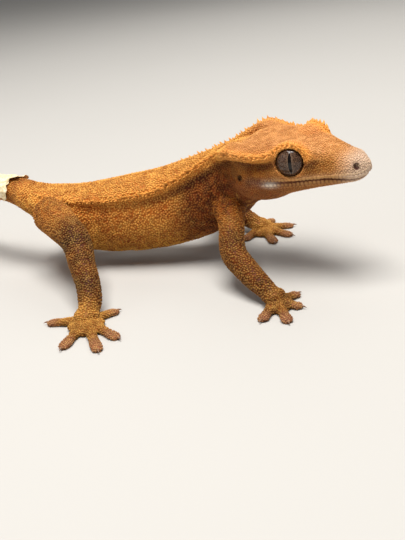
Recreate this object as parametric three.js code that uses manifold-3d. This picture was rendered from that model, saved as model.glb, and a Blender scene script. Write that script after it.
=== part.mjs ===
// Crested gecko, life size, standing still with its head turned to its right.
// Millimetres. +X runs along the body towards the head, +Y to the animal's left, +Z up.
// The feet and the laid part of the tail rest on z = 0.
import * as THREE from 'three';
import { mergeVertices } from 'three/addons/utils/BufferGeometryUtils.js';
import Module from 'manifold-3d';

const wasm = await Module();
wasm.setup();
const { Manifold, Mesh } = wasm;

// Driving sizes
const gap = 0.3;
const headOrigin = [30.4, -4.3, 27.5];
const headYaw = -27;
const headPitch = 1;
const headRoll = 9;
const eyeRadius = 3.75;
const eyeCentre = [14.7, 5.2, 1.9];
const eyeOpening = 3.2;
const eyeDome = 4.6;
const eyeForward = 20;
const eyeUpward = 8;
const lidRing = { radius: 3.55, out: 1.85, thickness: 0.42 };
const socketClearance = 0.32;
const spineStep = 1.75;
const spineSides = 5;
const spineRoot = 0.7;
const spineWidth = 0.9;
const spineHeight = { hip: 0.4, neck: 0.85, lash: 0.5 };
const clearOfCut = 1.2;
const smallestEdge = 0.02;
const seed = 41;

const degree = Math.PI / 180;

// Body stations from the rump to inside the head:
// centre, [half width, height above, height below], roll, squareness above and below.
const bodyStations = [
  { at: [-33, 1.8, 19.9], size: [3.9, 3.5, 3.7], square: [2.1, 2] },
  { at: [-28, 0.6, 18.5], size: [4.8, 4.2, 4.8], square: [2.2, 2] },
  { at: [-22.5, 0, 16.3], size: [6.5, 5.8, 6.8], roll: 2, square: [2.3, 2] },
  { at: [-14, 0.5, 13.8], size: [7.6, 7.9, 9.7], roll: 4, square: [2.4, 2.1] },
  { at: [-3, 1.1, 13.2], size: [8.4, 9.7, 10.1], roll: 5, square: [2.5, 2.2] },
  { at: [7, 1.0, 14.2], size: [8.5, 10.3, 10.0], roll: 5, square: [2.5, 2.2] },
  { at: [15.5, 0.6, 16.6], size: [8.3, 10.2, 9.9], roll: 5, square: [2.5, 2.2] },
  { at: [22, -0.6, 19.6], size: [7.8, 9.4, 9.2], roll: 6, square: [2.4, 2.2] },
  { at: [27, -2.7, 22.6], size: [7.5, 8.5, 7.8], roll: 8, square: [2.4, 2.2] },
  { at: [31.2, -5, 24.9], size: [8.0, 7.2, 7.8], roll: 9, square: [2.3, 2.2] },
  { at: [36, -7.4, 25.7], size: [7.0, 5.8, 6.4], roll: 9, square: [2.2, 2.2] },
];

// Tail stations: it leaves the hips, comes down behind them and lies along the floor.
const tailStations = [
  { at: [-28, 0.6, 18.5], size: [4.8, 4.2, 4.8] },
  { at: [-34.5, 2.6, 20.2], size: [3.7, 3.4, 3.4] },
  { at: [-42, 6.6, 19.8], size: [3.2, 3.0, 3.0] },
  { at: [-50.5, 12.6, 13.2], size: [3.0, 2.9, 3.0] },
  { at: [-58.5, 18.6, 6.2], size: [2.7, 2.6, 2.9] },
  { at: [-67.5, 22.8, 2.6], size: [2.4, 2.2, 2.5] },
  { at: [-78, 23.4, 1.95], size: [2.1, 1.9, 2.1] },
  { at: [-88.5, 19.8, 1.6], size: [1.85, 1.5, 1.75] },
  { at: [-97, 13.6, 1.05], size: [2.0, 1.0, 1.2] },
  { at: [-101.5, 8.6, 0.75], size: [1.5, 0.7, 0.9] },
];

// Head stations along the head's own axis, from the nape to the snout.
const headStations = [
  { at: [-4, 0, -2], size: [7.2, 5.6, 5.6], square: [3, 2.2] },
  { at: [0, 0, -1.6], size: [9.3, 6.3, 7.6], square: [3.8, 2.3] },
  { at: [4, 0, -1.5], size: [9.8, 6.8, 8.3], square: [4.4, 2.3] },
  { at: [8.2, 0, -1.5], size: [9.4, 6.9, 7.6], square: [4.4, 2.4] },
  { at: [12.4, 0, -1.5], size: [8.7, 7.0, 5.8], square: [4.2, 2.5] },
  { at: [16.6, 0, -1.6], size: [7.7, 7.0, 4.5], square: [3.7, 2.6] },
  { at: [20.2, 0, -1.6], size: [6.4, 6.6, 3.8], square: [2.7, 2.6] },
  { at: [23.6, 0, -1.5], size: [5.3, 5.6, 3.4], square: [2.1, 2.5] },
  { at: [26.6, 0, -1.4], size: [4.5, 4.3, 3.0], square: [1.9, 2.4] },
  { at: [29, 0, -1.2], size: [3.9, 3.3, 2.7], square: [2.0, 2.3] },
  { at: [30.9, 0, -0.9], size: [3.3, 2.6, 2.3], square: [2, 2.2] },
];

// The crest starts over the front of the brow, passes the eye and the temple to the back corner
// of the head, and then follows the body. Head stations: place on the head, thickness.
const browStations = [
  [18.9, 5.4, 2.9, 0.5],
  [18.4, 5.5, 4.2, 0.6],
  [17.1, 5.8, 5.3, 0.7],
  [15.1, 6.4, 5.8, 0.75],
  [13.0, 7.1, 5.2, 0.8],
  [11.4, 7.8, 4.1, 0.9],
  [8.6, 8.3, 3.6, 1.0],
  [5.6, 8.8, 3.8, 1.1],
  [2.4, 9.3, 4.3, 1.2],
  [-1.0, 9.0, 4.2, 1.2],
];
const crestOnBody = { from: 0.86, to: 0.1, count: 8, thick: 1.2, thin: 0.45, neckAngle: 40, backAngle: 52, sink: 0.35 };
const snoutRidge = [
  [21, 5.7, 4.5],
  [26, 3.7, 3.3],
  [29, 2.4, 2.0],
];
const mouth = { corner: 0.35, height: -2.1, droop: 0.3, depth: 0.75, gape: 0.34, reach: 0.9 };
const nostrilAt = [29.9, 2.75, 0.4];
const earAt = [2.6, 9.6, -1.4];

// Legs: hip or shoulder, down to the middle of the foot, with the radius at each point.
const legs = {
  hind_right: {
    route: [
      [-24, -3, 15.8, 5.2],
      [-17.8, -11.5, 14.7, 4.2],
      [-12.1, -18.5, 12.8, 3.6],
      [-9.0, -25, 9.3, 3.1],
      [-6.3, -30.5, 6.3, 2.8],
      [-4.9, -35, 3.7, 2.6],
      [-5.0, -39, 1.9, 1.7],
    ],
    toes: [
      [-14.6, -38.1],
      [-6.8, -51],
      [1.8, -52.4],
      [4.6, -46.6],
      [0.6, -32.4],
    ],
  },
  hind_left: {
    route: [
      [-24, 3, 15.5, 5.2],
      [-19.5, 11.5, 13.6, 4.6],
      [-14, 18.5, 10.8, 3.8],
      [-15.8, 24.3, 8.2, 3.3],
      [-18.5, 28.8, 5.8, 2.7],
      [-20.4, 32.2, 3.7, 2.3],
      [-21, 36.4, 1.9, 1.7],
    ],
    toes: [
      [-11.8, 36.2],
      [-14.4, 45.4],
      [-22.4, 48.6],
      [-29.6, 43.2],
      [-29.2, 32.6],
    ],
  },
  front_right: {
    route: [
      [23.5, -4.5, 16.6, 4.6],
      [25.1, -12, 13.2, 3.1],
      [26.2, -19.4, 8.8, 3.0],
      [29.6, -24, 6.1, 2.8],
      [33.4, -28.2, 3.9, 2.4],
      [37, -31.3, 1.9, 1.7],
    ],
    toes: [
      [34.6, -24.2],
      [41.4, -25.8],
      [42.8, -33.2],
      [40.4, -40.8],
      [34.4, -39.8],
    ],
  },
  front_left: {
    route: [
      [22, 4, 16.6, 4.6],
      [17.8, 12.4, 14, 3.4],
      [15.4, 19.3, 11, 3.0],
      [19.6, 20, 6.9, 2.7],
      [24, 18.8, 3.8, 2.3],
      [28, 17.6, 1.9, 1.7],
    ],
    toes: [
      [23.6, 10.6],
      [32.4, 7.6],
      [36.6, 12.6],
      [36.2, 20.8],
      [29.8, 26.2],
    ],
  },
};
const kneeStation = 2;
const ankleFromEnd = 0.85;

const palm = { front: [3.1, 3.1, 1.35], hind: [3.7, 3.7, 1.4] };
const web = { reach: 0.46, radii: [2.0, 2.0, 0.65], height: 0.7 };
// Along a toe: part of its length, half width, height above and below, height of its centre.
const toeStations = [
  [0, 1.8, 1.0, 1.1, 1.35],
  [0.35, 1.3, 0.85, 1.0, 1.1],
  [0.62, 1.15, 0.7, 0.9, 0.8],
  [0.84, 1.45, 0.6, 0.75, 0.6],
  [1, 1.05, 0.4, 0.6, 0.5],
];
const toeTipRadius = 0.9;
const claw = { radius: 0.34, length: 1.5, height: 0.5 };

// Loose cuff of dry shed skin over the root of the tail.
const shed = { start: 0.075, end: 0.2, lift: gap + 0.05, thickness: 0.6, spread: 112, strip: 0.016 };

const colours = {
  skin: 0xc8752f,
  eye: 0x6f5f58,
  foot: 0xc79a45,
  shed: 0xe9dcb6,
};

let drawState = seed;

function draw() {
  drawState = (drawState * 16807) % 2147483647;
  return drawState / 2147483647;
}

function smoothCurve(rows) {
  const points = rows.map((row) => new THREE.Vector3(...row));
  return new THREE.CatmullRomCurve3(points, false, 'catmullrom', 0.5);
}

function bell(distance, width) {
  return Math.exp(-((distance / width) ** 2));
}

function toSolid(geometry) {
  geometry.deleteAttribute('normal');
  geometry.deleteAttribute('uv');
  const merged = mergeVertices(geometry, 1e-4);
  return new Manifold(new Mesh({
    numProp: 3,
    vertProperties: new Float32Array(merged.attributes.position.array),
    triVerts: new Uint32Array(merged.index.array),
  }));
}

function largest(solid) {
  const pieces = solid.decompose();
  pieces.sort((a, b) => b.volume() - a.volume());
  return pieces[0];
}

// A tube with round ends along stations, whose section is an oval that can be squarer than an ellipse.
class Sweep {
  constructor(stations, { relief = () => 0, caps = [2, 2] } = {}) {
    this.route = smoothCurve(stations.map((station) => station.at));
    this.sizes = smoothCurve(stations.map((station) => station.size));
    this.forms = smoothCurve(stations.map((s) => [s.roll ?? 0, ...(s.square ?? [2, 2])]));
    this.relief = relief;
    this.caps = caps;
    this.length = this.route.getLength();
  }

  section(along) {
    const t = this.route.getUtoTmapping(along);
    const size = this.sizes.getPoint(t);
    const form = this.forms.getPoint(t);
    const forward = this.route.getTangent(t);
    const side = new THREE.Vector3(0, 0, 1).cross(forward).normalize();
    side.applyAxisAngle(forward, form.x * degree);
    const up = forward.clone().cross(side);
    return { centre: this.route.getPoint(t), forward, side, up, size, form };
  }

  // How far the round ends have drawn the section in.
  shrink(along) {
    const fromStart = Math.min(1, (along * this.length) / this.caps[0]);
    const fromEnd = Math.min(1, ((1 - along) * this.length) / this.caps[1]);
    return Math.sqrt(1 - (1 - fromStart) ** 2) * Math.sqrt(1 - (1 - fromEnd) ** 2);
  }

  // The angle runs from the belly (0) over the animal's left side and the back (180).
  surface(along, angle, grow = 0) {
    const { centre, side, up, size, form } = this.section(along);
    const sideways = Math.sin(angle * degree);
    const upwards = -Math.cos(angle * degree);
    const power = upwards > 0 ? form.y : form.z;
    const reach = (Math.abs(sideways) ** power + Math.abs(upwards) ** power) ** (-1 / power);
    const height = upwards > 0 ? size.y : size.z;
    const base = centre.clone();
    base.addScaledVector(side, sideways * reach * size.x);
    base.addScaledVector(up, upwards * reach * height);
    const out = grow + this.relief(base, along, angle);
    base.addScaledVector(side, sideways * out).addScaledVector(up, upwards * out);
    return base.sub(centre).multiplyScalar(this.shrink(along)).add(centre);
  }

  solid(rings, sides, { grow = 0, crowd = 0.45 } = {}) {
    const geometry = new THREE.SphereGeometry(1, sides, rings);
    const position = geometry.attributes.position;
    for (let ring = 0; ring <= rings; ring += 1) {
      const even = ring / rings;
      const along = even - (crowd * Math.sin(2 * Math.PI * even)) / (2 * Math.PI);
      for (let step = 0; step <= sides; step += 1) {
        const angle = -(step % sides) * (360 / sides);
        const point = this.surface(along, angle, grow);
        position.setXYZ(ring * (sides + 1) + step, point.x, point.y, point.z);
      }
    }
    return toSolid(geometry);
  }
}

// Places things given in the head's own frame.
const headFrame = new THREE.Matrix4().compose(
  new THREE.Vector3(...headOrigin),
  new THREE.Quaternion()
    .setFromAxisAngle(new THREE.Vector3(0, 0, 1), headYaw * degree)
    .multiply(new THREE.Quaternion().setFromAxisAngle(new THREE.Vector3(0, 1, 0), -headPitch * degree))
    .multiply(new THREE.Quaternion().setFromAxisAngle(new THREE.Vector3(1, 0, 0), headRoll * degree)),
  new THREE.Vector3(1, 1, 1),
);

function inHead(x, y, z) {
  return new THREE.Vector3(x, y, z).applyMatrix4(headFrame);
}

function alongHead(x, y, z) {
  return new THREE.Vector3(x, y, z).transformDirection(headFrame);
}

// Distance from a point to a bent line, both in the same frame.
function distanceToLine(point, rows) {
  let best = Infinity;
  const nearest = new THREE.Vector3();
  for (let index = 1; index < rows.length; index += 1) {
    const line = new THREE.Line3(new THREE.Vector3(...rows[index - 1]), new THREE.Vector3(...rows[index]));
    line.closestPointToPoint(point, true, nearest);
    best = Math.min(best, nearest.distanceTo(point));
  }
  return best;
}

// A shallow furrow runs down the middle of the back.
function bodyRelief(point, along, angle) {
  return -0.4 * bell(180 - angle, 24);
}

// Snout ridges, the hollow of the temple, the cheek and the dish between the brows.
function headRelief(place) {
  const point = new THREE.Vector3(place.x, Math.abs(place.y), place.z);
  const snout = 0.4 * bell(distanceToLine(point, snoutRidge), 1.5);
  const temple = -1.0 * bell(distanceToLine(point, [[2, 9.4, 2.0], [11, 9.0, 2.2]]), 1.8);
  const cheek = 0.5 * bell(distanceToLine(point, [[3, 9.5, -4.5], [6, 9.3, -4.5]]), 2.4);
  const dish = -0.5 * bell(distanceToLine(point, [[12, 0, 6], [21, 0, 5.6]]), 3);
  return snout + temple + cheek + dish;
}

const body = new Sweep(bodyStations, { relief: bodyRelief, caps: [3, 5] });
const tail = new Sweep(tailStations, { caps: [3, 3] });
const head = new Sweep(headStations, { relief: headRelief, caps: [6, 3.2] });
const crests = [-1, 1].map((hand) => crest(hand));

// One side's crest: a ridge with its route, its thickness and the way that it faces.
function crest(hand) {
  const stations = browStations.map(([x, y, z, thickness]) => ({
    at: inHead(x, y * hand, z).toArray(),
    size: [thickness, thickness, thickness],
    out: alongHead(0, 0.7 * hand, 0.72).toArray(),
  }));
  const { from, to, count, thick, thin, neckAngle, backAngle, sink } = crestOnBody;
  for (let index = 0; index < count; index += 1) {
    const part = index / (count - 1);
    const along = from + (to - from) * part;
    const thickness = thick + (thin - thick) * Math.sqrt(part);
    const { centre } = body.section(along);
    const angle = neckAngle + (backAngle - neckAngle) * Math.min(1, 2.5 * part);
    const place = body.surface(along, 180 - hand * angle, -sink * thickness);
    const out = place.clone().sub(centre).normalize();
    stations.push({ at: place.toArray(), size: [thickness, thickness, thickness], out: out.toArray() });
  }
  return { ridge: new Sweep(stations, { caps: [1, 1] }), out: smoothCurve(stations.map((station) => station.out)) };
}

function coreSolid(grow) {
  const trunk = body.solid(36, 22, { grow });
  const headShape = head.solid(28, 26, { grow, crowd: 0.35 });
  const matrix = headFrame.elements;
  const turned = headShape.transform([...matrix]);
  const tailShape = tail.solid(30, 10, { grow });
  const ridges = crests.map(({ ridge }) => ridge.solid(38, 6, { grow, crowd: 0 }));
  return Manifold.union([trunk, turned, tailShape, ...ridges]);
}

// A small bent spine: a cone whose root sinks into the surface.
function spine(root, direction, height, radius) {
  const geometry = new THREE.ConeGeometry(radius, height + spineRoot, spineSides);
  geometry.translate(0, (height + spineRoot) / 2 - spineRoot, 0);
  const turn = new THREE.Quaternion().setFromUnitVectors(new THREE.Vector3(0, 1, 0), direction);
  geometry.applyQuaternion(turn);
  geometry.translate(root.x, root.y, root.z);
  return toSolid(geometry);
}

// Planes that part the core, each with a point and a normal that points forward.
const cuts = {
  head: { point: inHead(0.2, 0, -2.5), normal: alongHead(0.974, 0, 0.227) },
  neck: { point: new THREE.Vector3(26.4, -2.2, 21.4), normal: new THREE.Vector3(0.78, -0.3, 0.55).normalize() },
  tail: { point: new THREE.Vector3(-28.6, 0.8, 18), normal: new THREE.Vector3(0.98, -0.2, 0).normalize() },
  tail_middle: tailCut(0.39),
  tail_tip: tailCut(0.7),
};

function tailCut(along) {
  const { centre, forward } = tail.section(along);
  return { point: centre, normal: forward.negate() };
}

function keepFront(solid, cut) {
  const offset = cut.point.dot(cut.normal) + gap / 2;
  return solid.trimByPlane(cut.normal.toArray(), offset);
}

function keepBack(solid, cut) {
  const offset = cut.point.dot(cut.normal) - gap / 2;
  return solid.trimByPlane(cut.normal.clone().negate().toArray(), -offset);
}

function nearCut(point) {
  return Object.values(cuts).some((cut) => {
    const distance = point.clone().sub(cut.point).dot(cut.normal);
    return Math.abs(distance) < clearOfCut && point.distanceTo(cut.point) < 20;
  });
}

// The lashes over the front of the brow are the longest spines, and the last ones are at the hips.
function crestSpines() {
  const spines = [];
  for (const { ridge, out } of crests) {
    const count = Math.floor(ridge.length / spineStep);
    for (let index = 0; index < count; index += 1) {
      const along = (index + 0.3) / count;
      const t = ridge.route.getUtoTmapping(along);
      const { centre, forward, size } = ridge.section(along);
      const facing = out.getPoint(t).normalize();
      const lash = bell(along - 0.03, 0.05);
      const lean = 0.45 - 0.8 * lash;
      const direction = facing.clone().addScaledVector(forward, lean).normalize();
      const height = (spineHeight.hip + (spineHeight.neck - spineHeight.hip) * (1 - along) ** 0.7
        + spineHeight.lash * lash) * (0.85 + 0.35 * draw());
      const root = centre.clone().addScaledVector(facing, size.x * 0.9);
      if (!nearCut(root)) {
        spines.push(spine(root, direction, height, spineWidth / 2));
      }
    }
  }
  return spines;
}

function ball(centre, radii, sides = 16, rings = 10) {
  const geometry = new THREE.SphereGeometry(1, sides, rings);
  geometry.scale(...radii);
  geometry.translate(...centre);
  return toSolid(geometry);
}

function headPiece(solid) {
  return solid.transform([...headFrame.elements]);
}

// The way that an eye looks, in the head's frame.
function eyeAxis(hand) {
  return new THREE.Vector3(
    Math.sin(eyeForward * degree),
    hand * Math.cos(eyeForward * degree) * Math.cos(eyeUpward * degree),
    Math.sin(eyeUpward * degree),
  ).normalize();
}

// Rim of the eye: a ring on the ball.
function lidRim(hand) {
  const axis = eyeAxis(hand);
  const ring = new THREE.TorusGeometry(lidRing.radius, lidRing.thickness, 4, 18);
  ring.applyQuaternion(new THREE.Quaternion().setFromUnitVectors(new THREE.Vector3(0, 0, 1), axis));
  ring.translate(eyeCentre[0], hand * eyeCentre[1], eyeCentre[2]);
  ring.translate(axis.x * lidRing.out, axis.y * lidRing.out, axis.z * lidRing.out);
  return toSolid(ring);
}

function eyeBall(hand, radius) {
  return ball([eyeCentre[0], hand * eyeCentre[1], eyeCentre[2]], [radius, radius, radius], 16, 10);
}

// The round opening between the lids, cut outwards from the widest part of the rim.
function eyeHole(hand) {
  const axis = eyeAxis(hand);
  const depth = Math.sqrt(eyeRadius ** 2 - eyeOpening ** 2);
  const hole = new THREE.CylinderGeometry(eyeOpening + 0.9, eyeOpening, 4, 20);
  hole.translate(0, 2 + depth - 0.4, 0);
  hole.applyQuaternion(new THREE.Quaternion().setFromUnitVectors(new THREE.Vector3(0, 1, 0), axis));
  hole.translate(eyeCentre[0], hand * eyeCentre[1], eyeCentre[2]);
  return toSolid(hole);
}

// The point low on the head's side at a given height.
function lowOnHead(along, height) {
  let low = 0;
  let high = 90;
  for (let step = 0; step < 24; step += 1) {
    const angle = (low + high) / 2;
    if (head.surface(along, angle).z < height) {
      low = angle;
    } else {
      high = angle;
    }
  }
  return head.surface(along, low);
}

// The line of the mouth runs from corner to corner round the snout.
function mouthRoute() {
  const count = 13;
  const left = [];
  for (let index = 0; index < count; index += 1) {
    const along = mouth.corner + (0.985 - mouth.corner) * Math.sin((index / (count - 1)) * 90 * degree);
    const fromCorner = (along - mouth.corner) / (1 - mouth.corner);
    left.push(lowOnHead(along, mouth.height - mouth.droop * bell(fromCorner, 0.3)));
  }
  const right = left.map((point) => new THREE.Vector3(point.x, -point.y, point.z));
  const points = [...right, ...left.reverse()];
  return new THREE.CatmullRomCurve3(points, false, 'centripetal');
}

// A wedge sunk along that line, made as a bent three-sided bar.
function mouthCut() {
  const route = mouthRoute();
  const steps = 36;
  const section = [[-mouth.depth, 0], [mouth.reach, mouth.gape], [mouth.reach, -mouth.gape]];
  const positions = [];
  for (let row = 0; row <= steps; row += 1) {
    const part = row / steps;
    const point = route.getPointAt(part);
    const forward = route.getTangentAt(part);
    const out = new THREE.Vector3(forward.y, -forward.x, 0).normalize();
    const fade = Math.min(1, 0.4 + 8 * Math.min(part, 1 - part));
    for (const [depth, height] of section) {
      positions.push(
        point.x + out.x * depth * fade,
        point.y + out.y * depth * fade,
        point.z + height * fade,
      );
    }
  }
  const sides = section.length;
  const faces = [];
  for (let row = 0; row < steps; row += 1) {
    for (let corner = 0; corner < sides; corner += 1) {
      const next = (corner + 1) % sides;
      const [a, b] = [row * sides + corner, row * sides + next];
      faces.push(a, b, a + sides, b, b + sides, a + sides);
    }
  }
  faces.push(0, 2, 1, steps * sides, steps * sides + 1, steps * sides + 2);
  const geometry = new THREE.BufferGeometry();
  geometry.setAttribute('position', new THREE.Float32BufferAttribute(positions, 3));
  geometry.setIndex(faces);
  return toSolid(geometry);
}

function headDetails(solid) {
  const rims = [-1, 1].flatMap((hand) => [lidRim(hand), eyeBall(hand, eyeDome)]);
  const raised = Manifold.union([solid, ...rims.map(headPiece)]);
  const hollows = [headPiece(mouthCut())];
  for (const hand of [-1, 1]) {
    hollows.push(headPiece(eyeBall(hand, eyeRadius + socketClearance)));
    hollows.push(headPiece(eyeHole(hand)));
    hollows.push(headPiece(ball([nostrilAt[0], hand * nostrilAt[1], nostrilAt[2]], [0.62, 0.8, 0.5], 8, 6)));
    hollows.push(headPiece(ball([earAt[0], hand * earAt[1], earAt[2]], [0.75, 1.3, 1.15], 10, 8)));
  }
  return largest(raised.subtract(Manifold.union(hollows)));
}

function toe(centre, tip) {
  const length = Math.hypot(tip[0] - centre[0], tip[1] - centre[1]);
  const stations = toeStations.map(([part, half, above, below, height]) => ({
    at: [
      centre[0] + (tip[0] - centre[0]) * part,
      centre[1] + (tip[1] - centre[1]) * part,
      height,
    ],
    size: [half, above, below],
  }));
  const pad = new Sweep(stations, { caps: [1, toeTipRadius] }).solid(7, 6, { crowd: 0.2 });
  const forward = new THREE.Vector3((tip[0] - centre[0]) / length, (tip[1] - centre[1]) / length, 0);
  const root = new THREE.Vector3(tip[0], tip[1], claw.height).addScaledVector(forward, -0.3);
  const nail = spine(root, forward, claw.length - 0.3, claw.radius);
  return [pad, nail];
}

// Skin between two neighbouring toes.
function webbing(centre, first, second) {
  const across = [0, 1].map((axis) => (first[axis] + second[axis]) / 2 - centre[axis]);
  const place = [centre[0] + across[0] * web.reach, centre[1] + across[1] * web.reach, web.height];
  return ball(place, web.radii, 7, 4);
}

function legSolid(name, leg) {
  const stations = leg.route.map(([x, y, z, r]) => ({ at: [x, y, z], size: [r, r, r] }));
  const sweep = new Sweep(stations, { caps: [3, 1.6] });
  const shaft = sweep.solid(15, 10, { crowd: 0.2 });
  const centre = leg.route.at(-1);
  const size = name.startsWith('front') ? palm.front : palm.hind;
  const sole = ball([centre[0], centre[1], 1.1], size, 10, 5);
  const toes = leg.toes.flatMap((tip) => toe(centre, tip));
  const webs = leg.toes.slice(1).map((tip, index) => webbing(centre, leg.toes[index], tip));
  return { solid: Manifold.union([shaft, sole, ...toes, ...webs]), sweep };
}

function legCut(sweep, station, count) {
  const t = station / (count - 1);
  const point = sweep.route.getPoint(t);
  return { point, normal: sweep.route.getTangent(t).negate() };
}

// The cuff is a bent, torn sheet that lies a little off the tail.
function shedSkin() {
  const across = 14;
  const lengthwise = 8;
  const geometry = new THREE.BoxGeometry(1, 1, 1, across, 1, lengthwise);
  const position = geometry.attributes.position;
  for (let index = 0; index < position.count; index += 1) {
    const round = position.getX(index) * 2;
    const outer = position.getY(index) > 0;
    const back = position.getZ(index) + 0.5;
    const torn = shed.strip * (bell(round - 0.1, 0.16) + 0.7 * bell(round + 0.42, 0.14));
    const front = shed.start + 0.006 * Math.sin(round * 7) - torn;
    const along = front + (shed.end - front) * back;
    const lift = shed.lift + 0.12 * (1 + Math.sin(9 * round + 14 * back)) * (1 - 0.5 * back);
    const grow = lift + (outer ? shed.thickness : 0);
    const point = tail.surface(along, 180 - round * shed.spread, grow);
    position.setXYZ(index, point.x, point.y, point.z);
  }
  return toSolid(geometry);
}

function material(colour, roughness) {
  return new THREE.MeshStandardMaterial({ color: colour, roughness, metalness: 0 });
}

const materials = {
  skin: material(colours.skin, 0.75),
  eye: material(colours.eye, 0.1),
  foot: material(colours.foot, 0.7),
  shed: material(colours.shed, 0.85),
};

const gecko = new THREE.Group();

function addNode(name, solid, look) {
  const mesh = largest(solid.simplify(smallestEdge)).getMesh();
  const geometry = new THREE.BufferGeometry();
  geometry.setAttribute('position', new THREE.BufferAttribute(new Float32Array(mesh.vertProperties), 3));
  geometry.setIndex(new THREE.BufferAttribute(new Uint32Array(mesh.triVerts), 1));
  const node = new THREE.Mesh(geometry, look);
  node.name = name;
  gecko.add(node);
}

// The floor is where everything that rests on it is cut flat.
function aboveFloor(solid) {
  return solid.trimByPlane([0, 0, 1], 0);
}

const core = Manifold.union([coreSolid(0), ...crestSpines()]);
const clearance = coreSolid(gap);

const headRaw = keepFront(core, cuts.head);
const behindHead = keepBack(core, cuts.head);
const neck = keepFront(behindHead, cuts.neck);
const behindNeck = keepBack(behindHead, cuts.neck);
const torso = keepFront(behindNeck, cuts.tail);
const wholeTail = aboveFloor(keepBack(behindNeck, cuts.tail));
const tailBase = keepFront(wholeTail, cuts.tail_middle);
const tailRest = keepBack(wholeTail, cuts.tail_middle);

addNode('head', headDetails(headRaw), materials.skin);
for (const [name, hand] of [['eye_left', 1], ['eye_right', -1]]) {
  addNode(name, headPiece(eyeBall(hand, eyeRadius)), materials.eye);
}
addNode('neck', largest(neck), materials.skin);
addNode('torso', largest(torso), materials.skin);
addNode('tail_base', largest(tailBase), materials.skin);
addNode('tail_middle', largest(keepFront(tailRest, cuts.tail_tip)), materials.skin);
addNode('tail_tip', largest(keepBack(tailRest, cuts.tail_tip)), materials.skin);
addNode('shed_skin', shedSkin(), materials.shed);

for (const [name, leg] of Object.entries(legs)) {
  const { solid, sweep } = legSolid(name, leg);
  const count = leg.route.length;
  const free = aboveFloor(solid.subtract(clearance));
  const kneeCut = legCut(sweep, kneeStation, count);
  const ankleCut = legCut(sweep, count - 1 - ankleFromEnd, count);
  addNode(`${name}_upper_leg`, largest(keepFront(free, kneeCut)), materials.skin);
  const belowKnee = keepBack(free, kneeCut);
  addNode(`${name}_lower_leg`, largest(keepFront(belowKnee, ankleCut)), materials.skin);
  addNode(`${name}_foot`, largest(keepBack(belowKnee, ankleCut)), materials.foot);
}

// The reference point is under the middle of the whole animal, on the floor.
const box = new THREE.Box3().setFromObject(gecko);
const middle = box.getCenter(new THREE.Vector3());
gecko.position.set(-middle.x, -middle.y, -box.min.z);

export default gecko;
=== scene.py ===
# Crested gecko, life size, standing still with its head turned to its right.
# The frame's solids give its place and size. This script gives it one skin, a coat of scales,
# the crest, the lips, eyes, claws, and a loose cuff of dry shed skin.
import math

import bpy
import numpy as np
from mathutils import Matrix, Vector
from mathutils.bvhtree import BVHTree
from mathutils.kdtree import KDTree


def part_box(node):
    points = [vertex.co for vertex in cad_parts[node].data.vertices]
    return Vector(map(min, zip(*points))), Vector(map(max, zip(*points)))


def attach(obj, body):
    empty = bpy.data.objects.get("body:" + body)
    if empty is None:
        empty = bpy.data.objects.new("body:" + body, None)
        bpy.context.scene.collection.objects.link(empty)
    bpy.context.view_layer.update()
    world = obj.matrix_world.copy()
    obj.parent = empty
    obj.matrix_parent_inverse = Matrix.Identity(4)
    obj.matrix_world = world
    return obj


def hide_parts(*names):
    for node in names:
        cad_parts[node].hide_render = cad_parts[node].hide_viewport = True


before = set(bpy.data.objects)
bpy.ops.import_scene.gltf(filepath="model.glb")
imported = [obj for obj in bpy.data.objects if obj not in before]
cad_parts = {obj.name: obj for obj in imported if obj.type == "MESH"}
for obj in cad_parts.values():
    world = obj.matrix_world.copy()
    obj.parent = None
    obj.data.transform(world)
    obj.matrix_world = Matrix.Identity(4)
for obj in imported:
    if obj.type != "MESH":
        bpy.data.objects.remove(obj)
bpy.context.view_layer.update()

# Sizes are in millimetres, with +X along the body to the head, +Y to the animal's left and +Z up.
MM = 0.001
HEAD_ORIGIN = np.array([30.4, -4.3, 27.5])
HEAD_TURN = np.array(
    Matrix.Rotation(math.radians(-27), 3, "Z")
    @ Matrix.Rotation(math.radians(-1), 3, "Y")
    @ Matrix.Rotation(math.radians(9), 3, "X")
)
EYE_RADIUS = 3.75
EYE_OPENING = 3.2
EYE_DOME = 4.35
EYE_GAP = 0.04
EYE_CENTRE = np.array([14.7, 5.2, 1.9])
EYE_FORWARD = 20
EYE_UPWARD = 8
LID_RIM = {"wider": 0.34, "thick": 0.42, "outward": 1.85}
LID_HOLE = {"flare": 1.0, "length": 4, "overlap": 0.4}
COAT_DEPTH = 0.12
SKIN_VOXEL = 0.22
SKIN_TRIANGLES = 185_000
SMOOTHING = {"factor": 0.5, "iterations": 6}

# The scales' spacing on each kind of skin, and how they are strewn: points thrown for each one,
# the least gap, and how often and how far they push their neighbours away
GRANULE = {"head": 0.43, "crest": 0.43, "body": 0.58, "limb": 0.55, "foot": 0.45, "tail": 0.5}
STREWN = {"thrown": 3.2, "gap": 0.8, "rounds": 3, "neighbours": 6, "push": 0.3}
CLOSE_PACKING = 0.866
# Where the coat leaves off: beside the mouth, on the lips, round the eyes and under the feet
BARE = {"mouth": 0.3, "lips": 1.1, "lips_front": 9, "nostril": 1.0, "eye": 0.18, "sole": 0.12}
NECK_BACK = -14
NECK_FRONT = 3
BODY_MIDDLE = 0.8

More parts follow.
